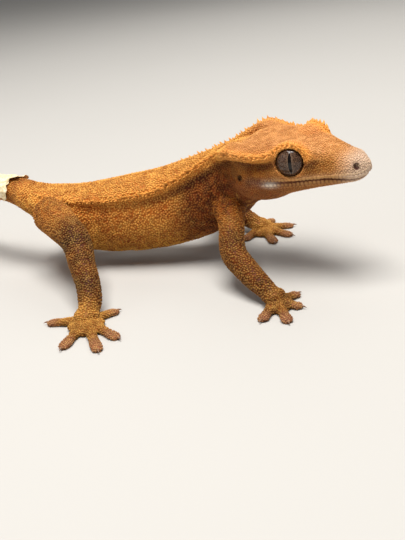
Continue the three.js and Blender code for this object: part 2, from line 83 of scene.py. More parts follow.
# Stations: place, half width, height above and below, roll, squareness above and below
HALF, ABOVE, BELOW, ROLL, SQUARE_ABOVE, SQUARE_BELOW = range(3, 9)
BODY = [
    [-33, 1.8, 19.9, 3.9, 3.5, 3.7, 0, 2.1, 2],
    [-28, 0.6, 18.5, 4.8, 4.2, 4.8, 0, 2.2, 2],
    [-22.5, 0, 16.3, 6.5, 5.8, 6.8, 2, 2.3, 2],
    [-14, 0.5, 13.8, 7.6, 7.9, 9.7, 4, 2.4, 2.1],
    [-3, 1.1, 13.2, 8.4, 9.7, 10.1, 5, 2.5, 2.2],
    [7, 1.0, 14.2, 8.5, 10.3, 10.0, 5, 2.5, 2.2],
    [15.5, 0.6, 16.6, 8.3, 10.2, 9.9, 5, 2.5, 2.2],
    [22, -0.6, 19.6, 7.8, 9.4, 9.2, 6, 2.4, 2.2],
    [27, -2.7, 22.6, 7.5, 8.5, 7.8, 8, 2.4, 2.2],
    [31.2, -5, 24.9, 8.0, 7.2, 7.8, 9, 2.3, 2.2],
    [36, -7.4, 25.7, 7.0, 5.8, 6.4, 9, 2.2, 2.2],
]
TAIL = [
    [-28, 0.6, 18.5, 4.8, 4.2, 4.8, 0, 2, 2],
    [-34.5, 2.6, 20.2, 3.7, 3.4, 3.4, 0, 2, 2],
    [-42, 6.6, 19.8, 3.2, 3.0, 3.0, 0, 2, 2],
    [-50.5, 12.6, 13.2, 3.0, 2.9, 3.0, 0, 2, 2],
    [-58.5, 18.6, 6.2, 2.7, 2.6, 2.9, 0, 2, 2],
    [-67.5, 22.8, 2.6, 2.4, 2.2, 2.5, 0, 2, 2],
    [-78, 23.4, 1.95, 2.1, 1.9, 2.1, 0, 2, 2],
    [-88.5, 19.8, 1.6, 1.85, 1.5, 1.75, 0, 2, 2],
    [-97, 13.6, 1.05, 2.0, 1.0, 1.2, 0, 2, 2],
    [-101.5, 8.6, 0.75, 1.5, 0.7, 0.9, 0, 2, 2],
]
HEAD = [
    [-4, 0, -2, 7.2, 5.6, 5.6, 0, 3, 2.2],
    [0, 0, -1.6, 9.3, 6.3, 7.6, 0, 3.8, 2.3],
    [4, 0, -1.5, 9.8, 6.8, 8.3, 0, 4.4, 2.3],
    [8.2, 0, -1.5, 9.4, 6.9, 7.6, 0, 4.4, 2.4],
    [12.4, 0, -1.5, 8.7, 7.0, 5.8, 0, 4.2, 2.5],
    [16.6, 0, -1.6, 7.7, 7.0, 4.5, 0, 3.7, 2.6],
    [20.2, 0, -1.6, 6.4, 6.6, 3.8, 0, 2.7, 2.6],
    [23.6, 0, -1.5, 5.3, 5.6, 3.4, 0, 2.1, 2.5],
    [26.6, 0, -1.4, 4.5, 4.3, 3.0, 0, 1.9, 2.4],
    [29, 0, -1.2, 3.9, 3.3, 2.7, 0, 2.0, 2.3],
    [30.9, 0, -0.9, 3.3, 2.6, 2.3, 0, 2, 2.2],
]

# Crest over the brow on the head: place, thickness. It follows the body from there.
BROW = [
    [18.9, 5.4, 2.9, 0.5],
    [18.4, 5.5, 4.2, 0.6],
    [17.1, 5.8, 5.3, 0.7],
    [15.1, 6.4, 5.8, 0.75],
    [13.0, 7.1, 5.2, 0.8],
    [11.4, 8.0, 3.9, 0.85],
    [8.6, 8.6, 3.3, 0.9],
    [5.6, 9.1, 3.5, 1.0],
    [2.4, 9.6, 4.1, 1.1],
    [-1.0, 9.2, 4.1, 1.15],
]
CREST_ON_BODY = {"from": 0.86, "to": 0.1, "count": 8, "thick": 1.2, "thin": 0.45, "sink": 0.35}
CREST_ANGLE = {"neck": 40, "back": 52}
CREST_FILLING = {"inward": (0.9, 1.8, 2.7, 3.6), "rise": 0.12, "turn": 6.5, "sink": 0.25}
CREST_FACING = slice(9, 12)
SNOUT_RIDGE = [[21, 5.7, 4.5], [26, 3.7, 3.3], [29, 2.4, 2.0]]
MOUTH = {"corner": 0.35, "front": 0.985, "height": -2.1, "droop": 0.3, "tip": -0.75}
MOUTH_BOX = [[0, -12, -6], [33, 12, 1]]
MOUTH_PRESS = {"depth": 0.36, "width": 0.24, "swell": 0.12, "beside": 0.75, "spread": 0.45}
NOSTRIL = [29.6, 2.85, 0.15]
NOSTRIL_RADII = [0.75, 0.9, 0.6]
EAR = [2.6, 9.6, -1.4]
EAR_RADII = [0.4, 1.2, 0.85]

# Legs: place and radius from hip or shoulder to the middle of the foot, and the toes' tips
LEGS = {
    "hind_right": (
        [
            [-24, -3, 15.8, 5.2],
            [-17.8, -11.5, 14.7, 4.2],
            [-12.1, -18.5, 12.8, 3.6],
            [-9.0, -25, 9.3, 3.1],
            [-6.3, -30.5, 6.3, 2.8],
            [-4.9, -35, 3.7, 2.6],
            [-5.0, -39, 1.9, 1.7],
        ],
        [[-14.6, -38.1], [-6.8, -51], [1.8, -52.4], [4.6, -46.6], [0.6, -32.4]],
    ),
    "hind_left": (
        [
            [-24, 3, 15.5, 5.2],
            [-19.5, 11.5, 13.6, 4.6],
            [-14, 18.5, 10.8, 3.8],
            [-15.8, 24.3, 8.2, 3.3],
            [-18.5, 28.8, 5.8, 2.7],
            [-20.4, 32.2, 3.7, 2.3],
            [-21, 36.4, 1.9, 1.7],
        ],
        [[-11.8, 36.2], [-14.4, 45.4], [-22.4, 48.6], [-29.6, 43.2], [-29.2, 32.6]],
    ),
    "front_right": (
        [
            [23.5, -4.5, 16.6, 4.6],
            [25.1, -12, 13.2, 3.1],
            [26.2, -19.4, 8.8, 3.0],
            [29.6, -24, 6.1, 2.8],
            [33.4, -28.2, 3.9, 2.4],
            [37, -31.3, 1.9, 1.7],
        ],
        [[34.6, -24.2], [41.4, -25.8], [42.8, -33.2], [40.4, -40.8], [34.4, -39.8]],
    ),
    "front_left": (
        [
            [22, 4, 16.6, 4.6],
            [17.8, 12.4, 14, 3.4],
            [15.4, 19.3, 11, 3.0],
            [19.6, 20, 6.9, 2.7],
            [24, 18.8, 3.8, 2.3],
            [28, 17.6, 1.9, 1.7],
        ],
        [[23.6, 10.6], [32.4, 7.6], [36.6, 12.6], [36.2, 20.8], [29.8, 26.2]],
    ),
}
PALM = {"front": [2.48, 2.48, 1.35], "hind": [2.96, 2.96, 1.4]}
PALM_HEIGHT = 1.1
ANKLE = {"along": 0.22, "radii": [2.7, 2.7, 1.5]}
WEB = {"reach": 0.33, "radii": [1.8, 1.8, 0.7], "height": 0.75}
# Along a toe: part of its length, half width, height above and below, height of its centre
TOE = [
    [0, 1.8, 1.1, 1.1, 1.35],
    [0.35, 1.3, 0.95, 1.0, 1.1],
    [0.62, 1.1, 0.75, 0.9, 0.85],
    [0.84, 1.4, 0.65, 0.75, 0.65],
    [1, 1.05, 0.4, 0.6, 0.5],
]

CLAW_HEIGHT = 0.72
# Rows of spines on a crest: turn to its side, spacing, and share of the full height
SPINE_ROWS = ((0, 1.15, 1.0), (38, 0.95, 0.55), (-36, 0.9, 0.5))
# Rows of plates beside the line of the mouth: height over it, size and count
LIP_ROWS = ((0.62, 1.02, 30), (-0.6, 1.05, 28), (1.35, 0.72, 38), (-1.35, 0.75, 36))
LID_BEADS = 40
PATCH_SIZE = 0.0015
SPECULAR = "Specular IOR Level"
# The shed cuff: its start and end along the tail, its looseness, half its turn round the tail,
# the depth of its tears, and its thickness
SHED = {"start": 0.075, "end": 0.2, "lift": 0.5, "spread": 112, "strip": 0.016, "thick": 0.09}

# The hide's markings from the first to the last: name, share, colour, and for mottled ones a
# lighter colour, with the weights of the grain, the flecks and the patches that lead to it
HIDE = [
    ("low", 0.8, (132, 78, 14), (210, 148, 50), (0.3, 0.6, 0)),
    ("back", 0.9, (190, 122, 44), (244, 178, 84), (0, 0.55, 0.45)),
    ("limb", 1, (82, 42, 8), (136, 74, 18), (0.2, 0.35, 0.45)),
    ("band", 0.8, (60, 30, 8), None, None),
    ("foot", 1, (150, 96, 32), (208, 152, 70), (0, 0.5, 0.5)),
    ("toe", 0.75, (170, 120, 92), None, None),
    ("headed", 0.9, (162, 102, 42), (202, 138, 74), (0, 0, 1)),
    ("crown", 0.8, (198, 132, 76), (226, 164, 104), (0, 1, 0)),
    ("temple", 0.85, (144, 70, 12), (194, 120, 36), (0, 1, 0)),
    ("throat", 0.9, (116, 48, 4), (158, 76, 10), (0, 1, 0)),
    ("neck", 0.8, (104, 46, 10), (148, 76, 26), (0, 1, 0)),
    ("thigh", 0.8, (122, 62, 14), (180, 108, 36), (0, 1, 0)),
    ("jaw", 0.55, (160, 98, 60), None, None),
    ("lip", 0.85, (104, 60, 46), (154, 108, 86), (0.3, 0.5, 0)),
    ("upper_lip", 0.75, (220, 168, 112), None, None),
    ("snout", 0.85, (230, 206, 184), None, None),
    ("rim", 0.7, (236, 160, 88), None, None),
    ("tail", 1, (170, 102, 38), (226, 154, 70), (0, 0, 1)),
]

CAMERA = {"azimuth": 13, "elevation": 21.6, "roll": -7, "distance": 212, "lens": 57.87}
LOOK_AT = np.array([17, -13.4, 2.0])
# Lights, in metres: place, size, power and colour
LIGHTS = {
    "key": ((0.04, -0.10, 0.70), 0.42, 7.8, (1.0, 0.985, 0.96)),
    "fill": ((-0.55, -0.35, 0.35), 0.6, 0.7, (0.97, 0.98, 1.0)),
    "back": ((0.1, 0.5, 0.5), 0.5, 1.2, (1.0, 0.98, 0.95)),
}
LIT_PLACE = Vector((0, 0, 0.012))

draw = np.random.default_rng(41)


def in_head(points):
    return np.asarray(points, float) @ HEAD_TURN.T + HEAD_ORIGIN


def from_head(points):
    return (np.asarray(points) - HEAD_ORIGIN) @ HEAD_TURN


def eye_place(hand):
    return in_head(EYE_CENTRE * [1, hand, 1])


def find_offset():
    """How far the frame's own origin lies from the one that the sizes here are in."""
    low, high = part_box("eye_right")
    return (np.array(low) + np.array(high)) / 2 / MM - eye_place(-1)


OFFSET = find_offset()


def to_scene(points):
    return (np.asarray(points) + OFFSET) * MM


def bell(distance, width):
    return np.exp(-((distance / width) ** 2))


def rise(value, low, high):
    part = np.clip((value - low) / (high - low), 0, 1)
    return part * part * (3 - 2 * part)


def unit(vectors):
    return vectors / np.maximum(np.linalg.norm(vectors, axis=-1, keepdims=True), 1e-9)


def run_of(line):
    """How far along a line each of its points lies."""
    return np.concatenate([[0], np.cumsum(np.linalg.norm(np.diff(line, axis=0), axis=1))])


def kd_tree(points):
    tree = KDTree(len(points))
    for index, point in enumerate(points):
        tree.insert(Vector(point), index)
    tree.balance()
    return tree


def as_is(points):
    return points


def on_left(points):
    """Points of the head, those of its right side mirrored to its left."""
    return points * [1, 0, 1] + np.abs(points) * [0, 1, 0]


class Route:
    """A smooth line through rows whose first three columns are a place."""

    def __init__(self, rows):
        rows = np.array(rows, float)
        before = 2 * rows[0] - rows[1]
        after = 2 * rows[-1] - rows[-2]
        self.rows = np.vstack([before, rows, after])
        self.spans = len(rows) - 1
        self.steps = np.linspace(0, 1, 401)
        self.run = run_of(self.at(self.steps)[:, :3])
        self.length = self.run[-1]

    def at(self, part):
        spot = np.clip(part, 0, 1) * self.spans
        span = np.minimum(spot.astype(int), self.spans - 1)
        w = (spot - span)[:, None]
        a, b, c, d = (self.rows[span + i] for i in range(4))
        leaving = (c - a) / 2
        coming = (d - b) / 2
        return (
            (2 * w**3 - 3 * w**2 + 1) * b
            + (w**3 - 2 * w**2 + w) * leaving
            + (3 * w**2 - 2 * w**3) * c
            + (w**3 - w**2) * coming
        )

    def evenly(self, along):
        """The rows at parts of the route's own length, and the way it runs there."""
        part = np.interp(np.asarray(along) * self.length, self.run, self.steps)
        ahead = self.at(np.minimum(part + 1e-4, 1)) - self.at(np.maximum(part - 1e-4, 0))
        return self.at(part), unit(ahead[:, :3])


class Tube:
    """A tube with round ends, whose section is an oval that can be squarer than an ellipse."""

    def __init__(self, stations, caps, relief=None):
        self.route = Route(stations)
        self.caps = caps
        self.relief = relief

    def section(self, along):
        """The rows, the way that the tube runs, and the ways to its left and over its back."""
        rows, forward = self.route.evenly(along)
        side = unit(np.cross([0, 0, 1], forward))
        up = np.cross(forward, side)
        roll = np.radians(rows[:, ROLL])[:, None]
        left = side * np.cos(roll) + up * np.sin(roll)
        return rows, forward, left, up * np.cos(roll) - side * np.sin(roll)

    def shrink(self, along):
        """How far the round ends draw the section in: 0 at a tip, 1 past its cap."""
        run = along * self.route.length
        part = 1.0
        for distance, cap in zip((run, self.route.length - run), self.caps):
            part = part * np.sqrt(np.maximum(0, 1 - (1 - np.minimum(1, distance / cap)) ** 2))
        return part[:, None]

    def surface(self, along, angle, grow=0.0):
        """Points of the tube. The angle runs from the belly, 0, over the left side to the back, 180."""
        rows, _, side, up = self.section(along)
        across = np.sin(np.radians(angle))
        over = -np.cos(np.radians(angle))
        power = np.where(over > 0, rows[:, SQUARE_ABOVE], rows[:, SQUARE_BELOW])
        reach = (np.abs(across) ** power + np.abs(over) ** power) ** (-1 / power)
        height = np.where(over > 0, rows[:, ABOVE], rows[:, BELOW])
        centre = rows[:, :3]
        sideways = side * (across * reach * rows[:, HALF])[:, None]
        place = centre + sideways + up * (over * reach * height)[:, None]
        out = grow + (self.relief(place, along, angle) if self.relief else 0)
        place += (side * across[:, None] + up * over[:, None]) * np.reshape(out, (-1, 1))
        return centre + (place - centre) * self.shrink(along)


def distance_to_line(points, rows):
    rows = np.array(rows, float)
    best = np.full(len(points), np.inf)
    for start, end in zip(rows, rows[1:]):
        span = end - start
        part = np.clip((points - start) @ span / (span @ span), 0, 1)
        best = np.minimum(best, np.linalg.norm(points - start - part[:, None] * span, axis=1))
    return best


def body_relief(place, along, angle):
    """A furrow down the back, an edge under each crest, and loose folds on the flank and neck."""
    from_back = 180 - np.abs((angle + 180) % 360 - 180)
    furrow = (0.55 * rise(along, 0.6, 0.82) - 0.75) * bell(from_back, 28)
    sharp = rise(along, 0.12, 0.3)
    ledge = sharp * (0.55 * bell(from_back - 46, 9) - 0.5 * bell(from_back - 66, 10))
    beside = rise(from_back, 62, 90) * (1 - rise(from_back, 150, 175))
    wander = np.sin(angle * 0.07 + along * 9)
    ribs = 0.1 * np.sin(along * 74 + wander) * bell(along - 0.45, 0.22)
    folds = 0.34 * np.sin(along * 118 + wander * 2) * bell(along - 0.79, 0.08)
    lumps = 0.1 * np.sin(along * 93 + angle * 0.19) * np.sin(along * 37 - angle * 0.11)
    return furrow + ledge + beside * (ribs + folds + lumps)


def head_relief(place, along, angle):
    point = on_left(place)
    snout = 0.4 * bell(distance_to_line(point, SNOUT_RIDGE), 1.5)
    temple = -1.25 * bell(distance_to_line(point, [[0, 9.4, 1.8], [10.5, 8.8, 1.8]]), 1.7)
    cheek = 0.5 * bell(distance_to_line(point, [[3, 9.5, -4.5], [6, 9.3, -4.5]]), 2.4)
    dish = -0.5 * bell(distance_to_line(point, [[12, 0, 6], [21, 0, 5.6]]), 3)
    nose = 0.35 * bell(distance_to_line(point, [[30, 0, 1.6], [30.4, 1.6, 1.2]]), 1.5)
    bridge = -0.45 * bell(distance_to_line(point, [[24.5, 0, 3.6], [27.5, 0, 2.4]]), 1.9)
    return snout + temple + cheek + dish + nose + bridge


body = Tube(BODY, (3, 5), body_relief)
tail = Tube(TAIL, (3, 3))
head = Tube(HEAD, (6, 3.2), head_relief)


class Crest:
    """One side's crest: a ridge, and the way that it faces. Rows further in fill its inner side."""

    def __init__(self, hand, inward=0.0):
        brow = np.array(BROW[5:] if inward else BROW)
        brow[:, 1] -= inward
        brow[:, 2] += CREST_FILLING["rise"] * inward
        places = list(in_head(brow[:, :3] * [1, hand, 1]))
        sizes = list(brow[:, 3])
        facing = [HEAD_TURN @ unit(np.array([0, 0.7 * hand, 0.72]))] * len(brow)
        form = CREST_ON_BODY
        for part in np.arange(form["count"]) / (form["count"] - 1):
            along = np.array([form["from"] + (form["to"] - form["from"]) * part])
            size = form["thick"] + (form["thin"] - form["thick"]) * math.sqrt(part)
            angle = CREST_ANGLE["neck"] + (CREST_ANGLE["back"] - CREST_ANGLE["neck"]) * min(1, 2.5 * part)
            angle -= CREST_FILLING["turn"] * inward
            sink = (form["sink"] + CREST_FILLING["sink"] * inward) * size
            place = body.surface(along, np.array([180 - hand * angle]), -sink)[0]
            places.append(place)
            sizes.append(size)
            facing.append(unit(place - body.section(along)[0][0, :3]))
        rows = [[*p, s, s, s, 0, 2, 2, *f] for p, s, f in zip(places, sizes, facing)]
        self.tube = Tube(rows, (1, 1))


crests = {hand: Crest(hand) for hand in (-1, 1)}


def toe_tube(centre, tip):
    centre = np.array(centre[:2])
    span = np.array(tip) - centre
    rows = [
        [*(centre + span * part), z, half, above, below, 0, 2, 2]
        for part, half, above, below, z in TOE
    ]
    return Tube(rows, (1, 1))


def leg_tube(route):
    return Tube([[x, y, z, r, r, r, 0, 2, 2] for x, y, z, r in route], (3, 1.6))


def low_on_head(along, height):
    """Points low on the head's left side at given heights, by halving the angle."""
    low = np.zeros(len(along))
    high = np.full(len(along), 90.0)
    for _ in range(24):
        angle = (low + high) / 2
        below = head.surface(along, angle)[:, 2] < height
        low = np.where(below, angle, low)
        high = np.where(below, high, angle)
    return head.surface(along, low)


def mouth_line(count, lift=0.0):
    """The line of the mouth on the head's left side, from the snout's end to the corner."""
    turn = np.sin(np.linspace(0, 1, count) * math.pi / 2)[::-1]
    along = MOUTH["corner"] + (MOUTH["front"] - MOUTH["corner"]) * turn
    from_corner = (along - MOUTH["corner"]) / (1 - MOUTH["corner"])
    height = MOUTH["height"] - MOUTH["droop"] * bell(from_corner, 0.3) + lift
    height += MOUTH["tip"] * rise(from_corner, 0.6, 1.0)
    return low_on_head(along, height)


def pick_nothing():
    bpy.ops.object.select_all(action="DESELECT")


def read_vectors(mesh, field="co"):
    """A vector for each of a mesh's points, such as its place or its normal."""
    flat = np.empty(len(mesh.vertices) * 3)
    mesh.vertices.foreach_get(field, flat)
    return flat.reshape(-1, 3)


def read_triangles(mesh):
    mesh.calc_loop_triangles()
    corners = np.empty(len(mesh.loop_triangles) * 3, dtype=np.int64)
    mesh.loop_triangles.foreach_get("vertices", corners)
    return corners.reshape(-1, 3)


def points_of(piece):
    return read_vectors(piece.data) / MM - OFFSET


def set_points(piece, points):
    piece.data.vertices.foreach_set("co", to_scene(points).ravel())
    piece.data.update()


def ball_points(segments, rings, name):
    """A new ball piece, with its points on a unit sphere."""
    pick_nothing()
    bpy.ops.mesh.primitive_uv_sphere_add(segments=segments, ring_count=rings, radius=1)
    piece = bpy.context.object
    piece.name = name
    return piece, read_vectors(piece.data)


def tube_piece(name, tube, rings, sides, crowd=0.2, place=as_is):
    """A tube's surface, less the depth of the coat, with its rings crowded towards its ends."""
    piece, ball = ball_points(sides, rings, name)
    even = np.arccos(np.clip(-ball[:, 2], -1, 1)) / math.pi
    along = even - crowd * np.sin(2 * math.pi * even) / (2 * math.pi)
    angle = np.degrees(np.arctan2(ball[:, 1], ball[:, 0]))
    set_points(piece, place(tube.surface(along, angle, -COAT_DEPTH)))
    return piece


def use_modifier(piece, kind, **settings):
    bpy.context.view_layer.objects.active = piece
    modifier = piece.modifiers.new(kind.title(), kind)
    for key, value in settings.items():
        setattr(modifier, key, value)
    bpy.ops.object.modifier_apply(modifier=modifier.name)


def join(pieces, name):
    pick_nothing()
    for piece in pieces:
        piece.select_set(True)
    bpy.context.view_layer.objects.active = pieces[0]
    bpy.ops.object.join()
    whole = bpy.context.object
    whole.name = name
    whole.data.name = name
    return whole


def eye_axis(hand):
    forward = math.radians(EYE_FORWARD)
    upward = math.radians(EYE_UPWARD)
    axis = [math.sin(forward), hand * math.cos(forward) * math.cos(upward), math.sin(upward)]
    return HEAD_TURN @ unit(np.array(axis))


def eye_turn(hand):
    """The turn from +Z to the way that an eye looks."""
    return np.array(Vector((0, 0, 1)).rotation_difference(Vector(eye_axis(hand))).to_matrix())


def lid_ring(hand):
    """A round rim on the ball of the eye."""
    pick_nothing()
    bpy.ops.mesh.primitive_torus_add(
        major_radius=EYE_OPENING + LID_RIM["wider"],
        minor_radius=LID_RIM["thick"],
        major_segments=64,
        minor_segments=12,
    )
    ring = bpy.context.object
    points = read_vectors(ring.data) @ eye_turn(hand).T
    set_points(ring, points + eye_place(hand) + eye_axis(hand) * LID_RIM["outward"])
    return ring


def ball_piece(name, centre, radii):
    piece, ball = ball_points(40, 24, name)
    set_points(piece, ball * radii + centre)
    return piece


def foot_pieces(name, shin, centre, toes):
    """The sole, the toes, and the skin between neighbouring toes."""
    palm = PALM[name.split("_")[0]]
    pieces = [ball_piece("sole", [centre[0], centre[1], PALM_HEIGHT], palm)]
    ankle = np.array(centre[:3]) + ANKLE["along"] * (np.array(shin[:3]) - centre[:3])
    pieces.append(ball_piece("ankle", ankle, ANKLE["radii"]))
    for tip in toes:
        pieces.append(tube_piece("toe", toe_tube(centre, tip), 40, 24))
    for first, second in zip(toes, toes[1:]):
        between = (np.array(first) + np.array(second)) / 2 - centre[:2]
        place = [*(centre[:2] + between * WEB["reach"]), WEB["height"]]
        pieces.append(ball_piece("web", place, WEB["radii"]))
    return pieces


def cut(piece, cutter, points):
    """Cuts a shape, moved to the points given, out of a piece."""
    set_points(cutter, points)
    use_modifier(piece, "BOOLEAN", operation="DIFFERENCE", solver="MANIFOLD", object=cutter)
    bpy.data.objects.remove(cutter)


def cut_ball(piece, centre, radii, place=as_is):
    cutter, ball = ball_points(48, 32, "cutter")
    cut(piece, cutter, place(ball * radii + centre))


def cut_eye_opening(piece, hand):
    """Opens the lids with a flared round hole along the way that the eye looks."""
    pick_nothing()
    bpy.ops.mesh.primitive_cone_add(
        vertices=72,
        radius1=EYE_OPENING,
        radius2=EYE_OPENING + LID_HOLE["flare"],
        depth=LID_HOLE["length"],
    )
    cutter = bpy.context.object
    depth = math.sqrt(EYE_RADIUS**2 - EYE_OPENING**2)
    forward = LID_HOLE["length"] / 2 + depth - LID_HOLE["overlap"]
    points = (read_vectors(cutter.data) + [0, 0, forward]) @ eye_turn(hand).T
    cut(piece, cutter, points + eye_place(hand))


def put_in_order(piece):
    """Sorts the points and faces, which a Boolean leaves to chance, so that every run is alike."""
    places = read_vectors(piece.data)
    order = np.lexsort(places.T)
    rank = np.empty(len(order), dtype=np.int64)
    rank[order] = np.arange(len(order))
    faces = []
    for face in piece.data.polygons:
        corners = rank[list(face.vertices)].tolist()
        first = corners.index(min(corners))
        faces.append(corners[first:] + corners[:first])
    mesh = bpy.data.meshes.new(piece.name)
    mesh.from_pydata(places[order].tolist(), [], sorted(faces))
    piece.data = mesh


def from_mouth(local):
    """How far points of the head lie from the line of the mouth."""
    tree = kd_tree(mouth_line(90))
    return np.array([tree.find(Vector(spot))[2] for spot in on_left(local)])


def sculpt_head(points):
    """Presses the line of the mouth in and swells the lips beside it."""
    local = from_head(points)
    near = np.all((local > MOUTH_BOX[0]) & (local < MOUTH_BOX[1]), axis=1)
    spots = local[near]
    distance = from_mouth(spots)
    away = unit(spots * [0.25, 1, 0] - [3, 0, 0])
    form = MOUTH_PRESS
    press = -form["depth"] * bell(distance, form["width"])
    press += form["swell"] * bell(distance - form["beside"], form["spread"])
    local[near] = spots + away * press[:, None]
    return in_head(local)


def make_skin():
    parts = [
        tube_piece("trunk", body, 180, 120, crowd=0.3),
        tube_piece("tail", tail, 200, 48, crowd=0.2),
        tube_piece("skull", head, 180, 140, crowd=0.25, place=in_head),
    ]
    for hand in (-1, 1):
        parts.append(tube_piece("ridge", crests[hand].tube, 240, 20, crowd=0))
        for inward in CREST_FILLING["inward"]:
            parts.append(tube_piece("ridge_filling", Crest(hand, inward).tube, 200, 16, crowd=0))
        parts.append(lid_ring(hand))
        parts.append(ball_piece("lid_dome", eye_place(hand), [EYE_DOME] * 3))
    for name, (route, toes) in LEGS.items():
        parts.append(tube_piece("leg", leg_tube(route), 90, 48))
        parts.extend(foot_pieces(name, route[-2], route[-1], toes))
    skin = join(parts, "skin")
    use_modifier(skin, "REMESH", mode="VOXEL", voxel_size=SKIN_VOXEL * MM)
    use_modifier(skin, "SMOOTH", **SMOOTHING)
    set_points(skin, sculpt_head(points_of(skin)))
    for hand in (-1, 1):
        cut_ball(skin, eye_place(hand), [EYE_RADIUS + EYE_GAP] * 3)
        cut_eye_opening(skin, hand)
        cut_ball(skin, np.array(NOSTRIL) * [1, hand, 1], NOSTRIL_RADII, in_head)
        cut_ball(skin, np.array(EAR) * [1, hand, 1], EAR_RADII, in_head)
    put_in_order(skin)
    faces = sum(len(face.vertices) - 2 for face in skin.data.polygons)
    use_modifier(skin, "DECIMATE", ratio=SKIN_TRIANGLES / faces, use_collapse_triangulate=True)
    points = points_of(skin)
    points[:, 2] = np.maximum(points[:, 2], 0)
    set_points(skin, points)
    skin.data.shade_smooth()
    return skin


# Regions of the unwrap: name, tube, kind of skin, and whether the tube is in the head's own frame
REGIONS = [
    ("body", body, "body", False),
    ("tail", tail, "tail", False),
    ("head", head, "head", True),
    ("crest_right", crests[-1].tube, "crest", False),
    ("crest_left", crests[1].tube, "crest", False),
]
for leg_name, (leg_route, leg_toes) in LEGS.items():
    REGIONS.append((leg_name, leg_tube(leg_route), "limb", False))
    for toe_tip in leg_toes:
        REGIONS.append((leg_name, toe_tube(leg_route[-1], toe_tip), "foot", False))
REGION_NAMES = np.array([region[0] for region in REGIONS])
REGION_KINDS = np.array([region[2] for region in REGIONS])
# Columns of the unwrap's samples, after the place
REGION, ALONG, ANGLE = range(3, 6)
DIRECTION = slice(6, 9)


class Unwrap:
    """Finds the region of the nearest surface, the part along it, its angle and its direction."""

    def __init__(self, step=0.7):
        rows = []
        for index, (_, tube, kind, headed) in enumerate(REGIONS):
            length = tube.route.length
            girth = 2 * math.pi * tube.route.rows[:, HALF].max()
            count = max(4, int(length / step))
            sides = max(8, int(girth / step))
            along, angle = np.meshgrid(
                (np.arange(count) + 0.5) / count, (np.arange(sides) + 0.5) * 360 / sides
            )
            along = along.ravel()
            angle = angle.ravel()
            places = tube.surface(along, angle)
            forward = tube.section(along)[1]
            if headed:
                places = in_head(places)
                forward = forward @ HEAD_TURN.T
            if kind in ("body", "head"):
                forward = -forward
            rows.append(np.column_stack([places, np.full(len(along), index), along, angle, forward]))
        self.samples = np.vstack(rows)
        self.tree = kd_tree(self.samples[:, :3])

    def read(self, points):
        nearest = np.array([self.tree.find(Vector(point))[1] for point in points])
        return self.samples[nearest]


unwrap = Unwrap()


def ridge_distance(points):
    """Distance to the nearer crest, the part along it, and the height above it."""
    count = 500
    along = np.linspace(0, 1, count)
    tree = kd_tree(np.vstack([crests[hand].tube.section(along)[0][:, :3] for hand in (-1, 1)]))
    found = [tree.find(Vector(point)) for point in points]
    distance = np.array([f[2] for f in found])
    part = np.array([f[1] for f in found]) % count / (count - 1)
    height = points[:, 2] - np.array([f[0][2] for f in found])
    return distance, part, height


def hollow(local, centre, width):
    return bell(np.linalg.norm(on_left(local) - centre, axis=1), width)


def from_eyes(points):
    """Distance to the centre of the nearer eye."""
    return np.minimum(*(np.linalg.norm(points - eye_place(hand), axis=1) for hand in (-1, 1)))


def markings(points, samples):
    """How far each point lies in each marking, and in the painted shade under the crests and in the
    nostrils and ears, from 0 to 1.
    """
    regions = samples[:, REGION].astype(int)
    names = REGION_NAMES[regions]
    kinds = REGION_KINDS[regions]
    hind = np.char.startswith(names, "hind")
    shaded = names == "front_right"
    along = samples[:, ALONG]
    local = from_head(points)
    front = local[:, 0]
    up = local[:, 2]
    trunk = np.isin(kinds, ["body", "head", "crest"]).astype(float)
    leg = kinds == "limb"
    limb = leg * rise(along, 0.12, 0.42)
    foot = (kinds == "foot").astype(float)
    on_body = (kinds == "body").astype(float)
    distance, part, height = ridge_distance(points)
    over = -np.cos(np.radians(samples[:, ANGLE]))
    headed = trunk * rise(front, -5, 3)
    under_crest = trunk * rise(front, -20, -11) * (1 - rise(front, -2, 6)) * rise(-height, 0.6, 2.6)
    shade = trunk * bell(distance - 2.0, 1.0) * rise(-height, 0.2, 1.2)
    mouth = up - MOUTH["height"]
    return {
        "headed": headed,
        "crown": headed * rise(up, 1.5, 4.5),
        "snout": headed * rise(front, 24, 30.5),
        "lip": headed * bell(mouth, 1.1) * rise(front, 2, 6),
        "jaw": headed * rise(-up, 2.2, 3.4),
        "throat": trunk * rise(-up, -0.5, 3.5) * (1 - rise(front, 6, 18)) * rise(front, -19, -9),
        "neck": np.maximum(under_crest, leg * (1 - limb) * ~hind),
        "upper_lip": headed * bell(mouth - 0.8, 0.5) * rise(front, 9, 14),
        "temple": headed * bell(front - 7, 4) * bell(up - 0.5, 3.2),
        "rim": headed * bell(from_eyes(points) - EYE_RADIUS - 0.3, 0.6),
        # Nostrils and ears: painted shade in their openings.
        "hollow": np.maximum(hollow(local, NOSTRIL, 0.9), 0.8 * hollow(local, EAR, 0.9)),
        "corner": headed * bell(front - 10.2, 1.7) * bell(up + 2.9, 0.8),
        "crest": trunk * bell(distance, 1.2) * (1 - 0.75 * rise(part, 0.45, 0.95)),
        "shade": shade * (1 - rise(part, 0.5, 0.8)),
        "back": on_body * rise(over, 0.45, 0.85),
        "low": on_body * rise(-over, -0.1, 0.8),
        "flank": on_body * rise(-over, -0.9, -0.4),
        "limb": np.maximum(limb, foot),
        "foot": np.maximum(foot, limb * rise(along, 0.86, 0.98)) * np.where(shaded, 0.35, 1),
        "thigh": leg * (1 - limb),
        "band": limb * hind * np.maximum(bell(along - 0.5, 0.05), 0.8 * bell(along - 0.8, 0.045)),
        "toe": foot * rise(along, 0.5, 0.85),
        "tail": (kinds == "tail").astype(float),
    }


def add_attribute(piece, name, values, kind="FLOAT"):
    layer = piece.data.attributes.new(name, kind, "POINT")
    field = "vector" if kind == "FLOAT_VECTOR" else "value"
    layer.data.foreach_set(field, np.ascontiguousarray(values, dtype=np.float32).ravel())


